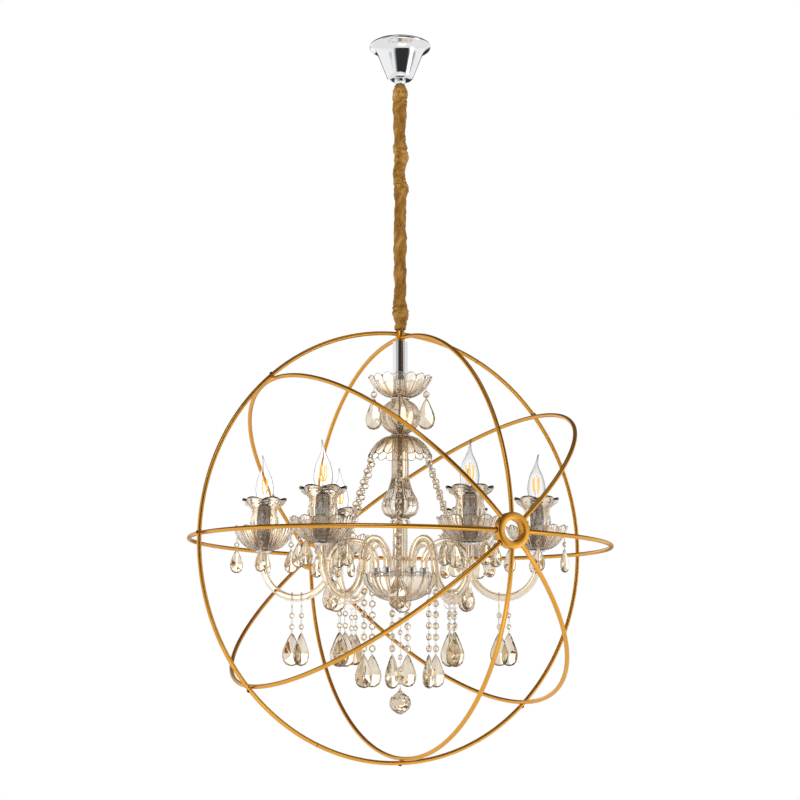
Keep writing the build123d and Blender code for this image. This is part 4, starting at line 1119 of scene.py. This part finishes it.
def build_crystals():
    for number, angle in spread(TOP_DROP_COUNT, GARLAND_START):
        shape = drop(TOP_DROP_R, angle, TOP_DROP_H, 1, 2 * BEAD_R, BEAD_R, 6, TOP_ALMOND)
        hanging(f"dish_crystal_{number}", shape, f"dish_pendant_{number}", f"top_drop_{number}")
    for number, angle in spread(BOWL_STRAND_COUNT, BOWL_STRAND_START):
        shape = drop(BOWL_STRAND_R, angle, BOWL_STRAND_H, 6, BEAD_PITCH, BEAD_R, 16, free=number > 1)
        hanging(f"bowl_crystal_{number}", shape, f"bowl_pendant_{number}", f"bowl_strand_{number}")
    for number, angle in spread(GARLAND_COUNT, GARLAND_START):
        start = polar(GARLAND_TOP_R, angle, level(GARLAND_TOP_H))
        end = polar(GARLAND_FOOT_R, angle, level(GARLAND_FOOT_H))
        facing = polar(1, hung_facing(GARLAND_TOP_R, angle, GARLAND_TOP_H))
        shape = strand(start, end, GARLAND_BEADS, BEAD_R, facing, 0, GARLAND_SMALL_R)
        shape.add(almond(end - UP * CLEAR, polar(1, hung_facing(GARLAND_FOOT_R, angle, GARLAND_FOOT_H))))
        hanging(f"garland_{number}", shape, "orb", "garlands")
    for number, angle in spread(ARM_COUNT, ARM_START):
        hanging(f"arm_crystal_{number}", Shape().add(arm_crystals(angle), at_arm(angle)),
                f"arm_pendant_{number}", f"arm_drops_{number}")
        hanging(f"pan_crystal_{number}", Shape().add(pan_crystals(angle), at_arm(angle, ARM_TIP_R)),
                "orb", "pan_drops")
    build_finial()


def arm_crystals(turned):
    """Two clear rings over the arm's low point, each with a strand."""
    shape = Shape()
    place = ARM_RING_SPACING / 2
    rise = ARM_BEND_R - sqrt(ARM_BEND_R ** 2 - place ** 2)
    middle = ARM_BEND_H - ARM_BEND_R + rise + ARM_TUBE_R - ARM_RING_R + ARM_RING_WIRE_R + 0.2
    for side in (-1, 1):
        centre = Vector((LOW_POINT_R + side * place, 0, level(middle)))
        ring = circle(centre, ARM_RING_R, Vector((1, 0, 0)), 40)
        shape.add(tube(ring, ARM_RING_WIRE_R, 10, True))
        foot = middle - ARM_RING_R - ARM_RING_WIRE_R
        shape.add(drop(centre.x, 0, foot, 2, BEAD_PITCH, SMALL_BEAD_R, 5, turned=turned))
    return shape


def pan_crystals(turned):
    shape = Shape()
    for _, angle in spread(PAN_DROP_COUNT, 0):
        shape.add(drop(PAN_DROP_R, angle, PAN_DROP_H, 1, SMALL_PITCH, SMALL_BEAD_R, 5, PAN_ALMOND, turned))
    return shape


FINIAL_SIDES = 10
FINIAL_RINGS = ((0, 0.06), (0.1, 0.16), (0.2, 0.4), (0.32, 0.8), (0.48, 0.98), (0.64, 1), (0.8, 0.8),
                (0.93, 0.46), (1, 0.16))


def build_finial():
    """Beads under the finial and a facet-cut ball with a pointed top."""
    start = Vector((0, 0, level(FINIAL_STRAND_H)))
    end = start - UP * FINIAL_BEADS * FINIAL_PITCH
    shape = strand(start, end, FINIAL_BEADS, SMALL_BEAD_R, polar(1, ARM_START))
    peak = end.z - CLEAR
    rings = []
    painted_shade_tints = []
    for number, (share, width) in enumerate(FINIAL_RINGS):
        z = peak - FINIAL_BALL_HEIGHT * share
        corners = spread(FINIAL_SIDES, 180 / FINIAL_SIDES * (number % 2))
        rings.append([polar(FINIAL_BALL_R * width, angle, z) for _, angle in corners])
        # painted shade: every third facet darker, by turns
        painted_shade_tints.append([0.7 if (i + number) % 3 == 0 else 0.15 for i in range(FINIAL_SIDES)])
    ball = Shape().skin(rings, painted_shade_tints=painted_shade_tints)
    ball.faces = [part for face in ball.faces
                  for part in ([face[:3], (face[0], *face[2:])] if len(face) == 4 else [face])]
    ball.finishes = [0] * len(ball.faces)
    hanging("finial_crystal", shape.add(ball), "finial_pendant", "finial_strand")


# ---- carried-over nodes

def dress_kept_nodes():
    for name in ("ceiling_bracket", "nipple_and_nut", "centre_rod"):
        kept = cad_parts[name].data.materials
        kept.clear()
        kept.append(ZINC)


# ---- studio

CAMERA_PLACE = Vector((-1.447, -2.687, -1.196))
CAMERA_TURN = 28.3  # from +Y towards +X
CAMERA_PITCH = 8.9
CAMERA_LENS = 72
FLOOR_Z = -2.35
FLOOR_R = 4.6
WHITE = (1, 1, 1)
BLACK = (0, 0, 0)
# dark cards seen by polished metal: azimuth, half width, depth
CARDS = ((-107, 48, 0.965), (62, 30, 0.965), (-172, 17, 0.5), (-38, 15, 0.5))
# dim strips seen through glass: azimuth, half width
DIM_STRIPS = ((102, 7), (22, 7), (152, 9), (-28, 9), (-118, 12))
STRIP_DEPTH = 0.75
CARD_INSIDE = 0.8   # a card's or strip's edge fades between these shares of its half width
CARD_OUTSIDE = 1.1
LAMPS = (           # name, place, size, watts
    ("key", (-2.5, -2.3, 1.3), 1.9, 17),
    ("fill", (2.3, -2.9, -1.5), 1.7, 8),
    ("low", (-0.4, -1.4, -2.25), 1.5, 5),
    ("back", (0.9, 3.2, -0.6), 1.8, 8),
    ("top", (0.2, -0.4, 0.9), 1.4, 2),
)


def build_world():
    """White for the camera; a bright studio with dark cards for mirrors, and dim strips for glass."""
    world = bpy.data.worlds.new("studio")
    bpy.context.scene.world = world
    world.use_nodes = True
    tree = world.node_tree
    tree.nodes.clear()
    rays = node(tree, "LightPath").outputs
    sky = node(tree, "TexCoord").outputs["Generated"]
    split = node(tree, "SeparateXYZ", {"Vector": sky})
    height = node(tree, "MapRange", {"Value": split.outputs["Z"], "From Min": -1}).outputs["Result"]

    def by_height(*stops):
        """Colours from straight down (-1) to straight up (1)."""
        return ramp(tree, height, [((z + 1) / 2, colour) for z, colour in stops])

    def darkened(colour, azimuth, half, depth, window):
        """Darkens colour in a patch of the sky round azimuth, at the heights where window is white."""
        near = cos(radians(half * CARD_INSIDE))
        far = cos(radians(half * CARD_OUTSIDE))
        dot = node(tree, "VectorMath", {0: sky, 1: polar(1, azimuth)}, operation="DOT_PRODUCT")
        edge = node(tree, "MapRange", {"Value": dot.outputs["Value"], "From Min": far, "From Max": near,
                                       "To Max": depth})
        left = calc(tree, "SUBTRACT", 1, calc(tree, "MULTIPLY", edge.outputs["Result"], window))
        return node(tree, "VectorMath", {0: colour, "Scale": left}, operation="SCALE").outputs["Vector"]

    def light(colour=(1, 1, 1, 1), strength=1):
        return node(tree, "Background", {"Color": colour, "Strength": strength}).outputs["Background"]

    through = by_height((-1, (0.5, 0.42, 0.33)), (-0.5, WHITE), (0.38, WHITE), (0.54, (0.33, 0.24, 0.16)),
                        (1, (0.21, 0.14, 0.085)))
    strip_window = by_height((-0.5, (0.6, 0.6, 0.6)), (0.5, WHITE))
    for azimuth, half in DIM_STRIPS:
        through = darkened(through, azimuth, half, STRIP_DEPTH, strip_window)
    mirror = by_height((-1, (0.55, 0.5, 0.45)), (-0.55, (0.8, 0.78, 0.75)), (-0.3, WHITE), (0.24, WHITE),
                       (0.45, (0.17, 0.135, 0.10)), (1, (0.07, 0.055, 0.04)))
    card_window = by_height((-0.66, BLACK), (-0.56, WHITE), (0.5, WHITE), (0.6, BLACK))
    for azimuth, half, depth in CARDS:
        mirror = darkened(mirror, azimuth, half, depth, card_window)
    shown = light(strength=0.55)
    for ray, seen in (("Is Glossy Ray", light(mirror)), ("Is Transmission Ray", light(through)),
                      ("Is Camera Ray", light())):
        shown = node(tree, "MixShader", {"Fac": rays[ray], 1: shown, 2: seen}).outputs["Shader"]
    node(tree, "OutputWorld", {"Surface": shown})


def build_floor():
    """Pale floor that is nearly white to the camera and to mirrors."""
    mesh = bpy.data.meshes.new("floor")
    mesh.from_pydata([polar(FLOOR_R, 5 * i, FLOOR_Z) for i in range(72)], [], [tuple(range(72))])
    floor = bpy.data.objects.new("floor", mesh)
    bpy.context.collection.objects.link(floor)
    mat = new_material("studio floor", (0.9, 0.9, 0.9), 0, 0.8)
    mesh.materials.append(mat)
    tree = mat.node_tree
    rays = node(tree, "LightPath").outputs
    seen = calc(tree, "MAXIMUM", rays["Is Camera Ray"], rays["Is Glossy Ray"])
    glassy = calc(tree, "MULTIPLY", rays["Is Transmission Ray"], 0.4)
    share = calc(tree, "MULTIPLY", calc(tree, "MAXIMUM", seen, glassy), 0.75)
    white = node(tree, "Emission", {"Color": (1, 1, 1, 1), "Strength": 1}).outputs["Emission"]
    mix = node(tree, "MixShader", {"Fac": share, 1: principled(mat).outputs["BSDF"], 2: white})
    plug(tree, tree.nodes["Material Output"], {"Surface": mix.outputs["Shader"]})


def build_studio():
    build_world()
    build_floor()
    aim = Vector((0, 0, -ORB_DROP * MM))
    for name, place, size, watts in LAMPS:
        lamp = bpy.data.lights.new(name, "AREA")
        lamp.shape = "DISK"
        lamp.size = size
        lamp.energy = watts
        obj = bpy.data.objects.new(name, lamp)
        obj.location = place
        obj.rotation_euler = (Vector(place) - aim).to_track_quat("Z", "Y").to_euler()
        obj.visible_camera = False
        bpy.context.collection.objects.link(obj)
    camera = bpy.data.cameras.new("camera")
    camera.lens = CAMERA_LENS
    camera.sensor_width = 36
    camera.clip_end = 60
    obj = bpy.data.objects.new("camera", camera)
    obj.location = CAMERA_PLACE
    obj.rotation_euler = (radians(90 + CAMERA_PITCH), 0, radians(-CAMERA_TURN))
    bpy.context.collection.objects.link(obj)
    bpy.context.scene.camera = obj
    bpy.context.scene.view_settings.view_transform = "Standard"


build_ceiling()
build_chain()
build_sleeve()
build_cage()
build_column()
build_arms()
build_crystals()
dress_kept_nodes()
build_studio()
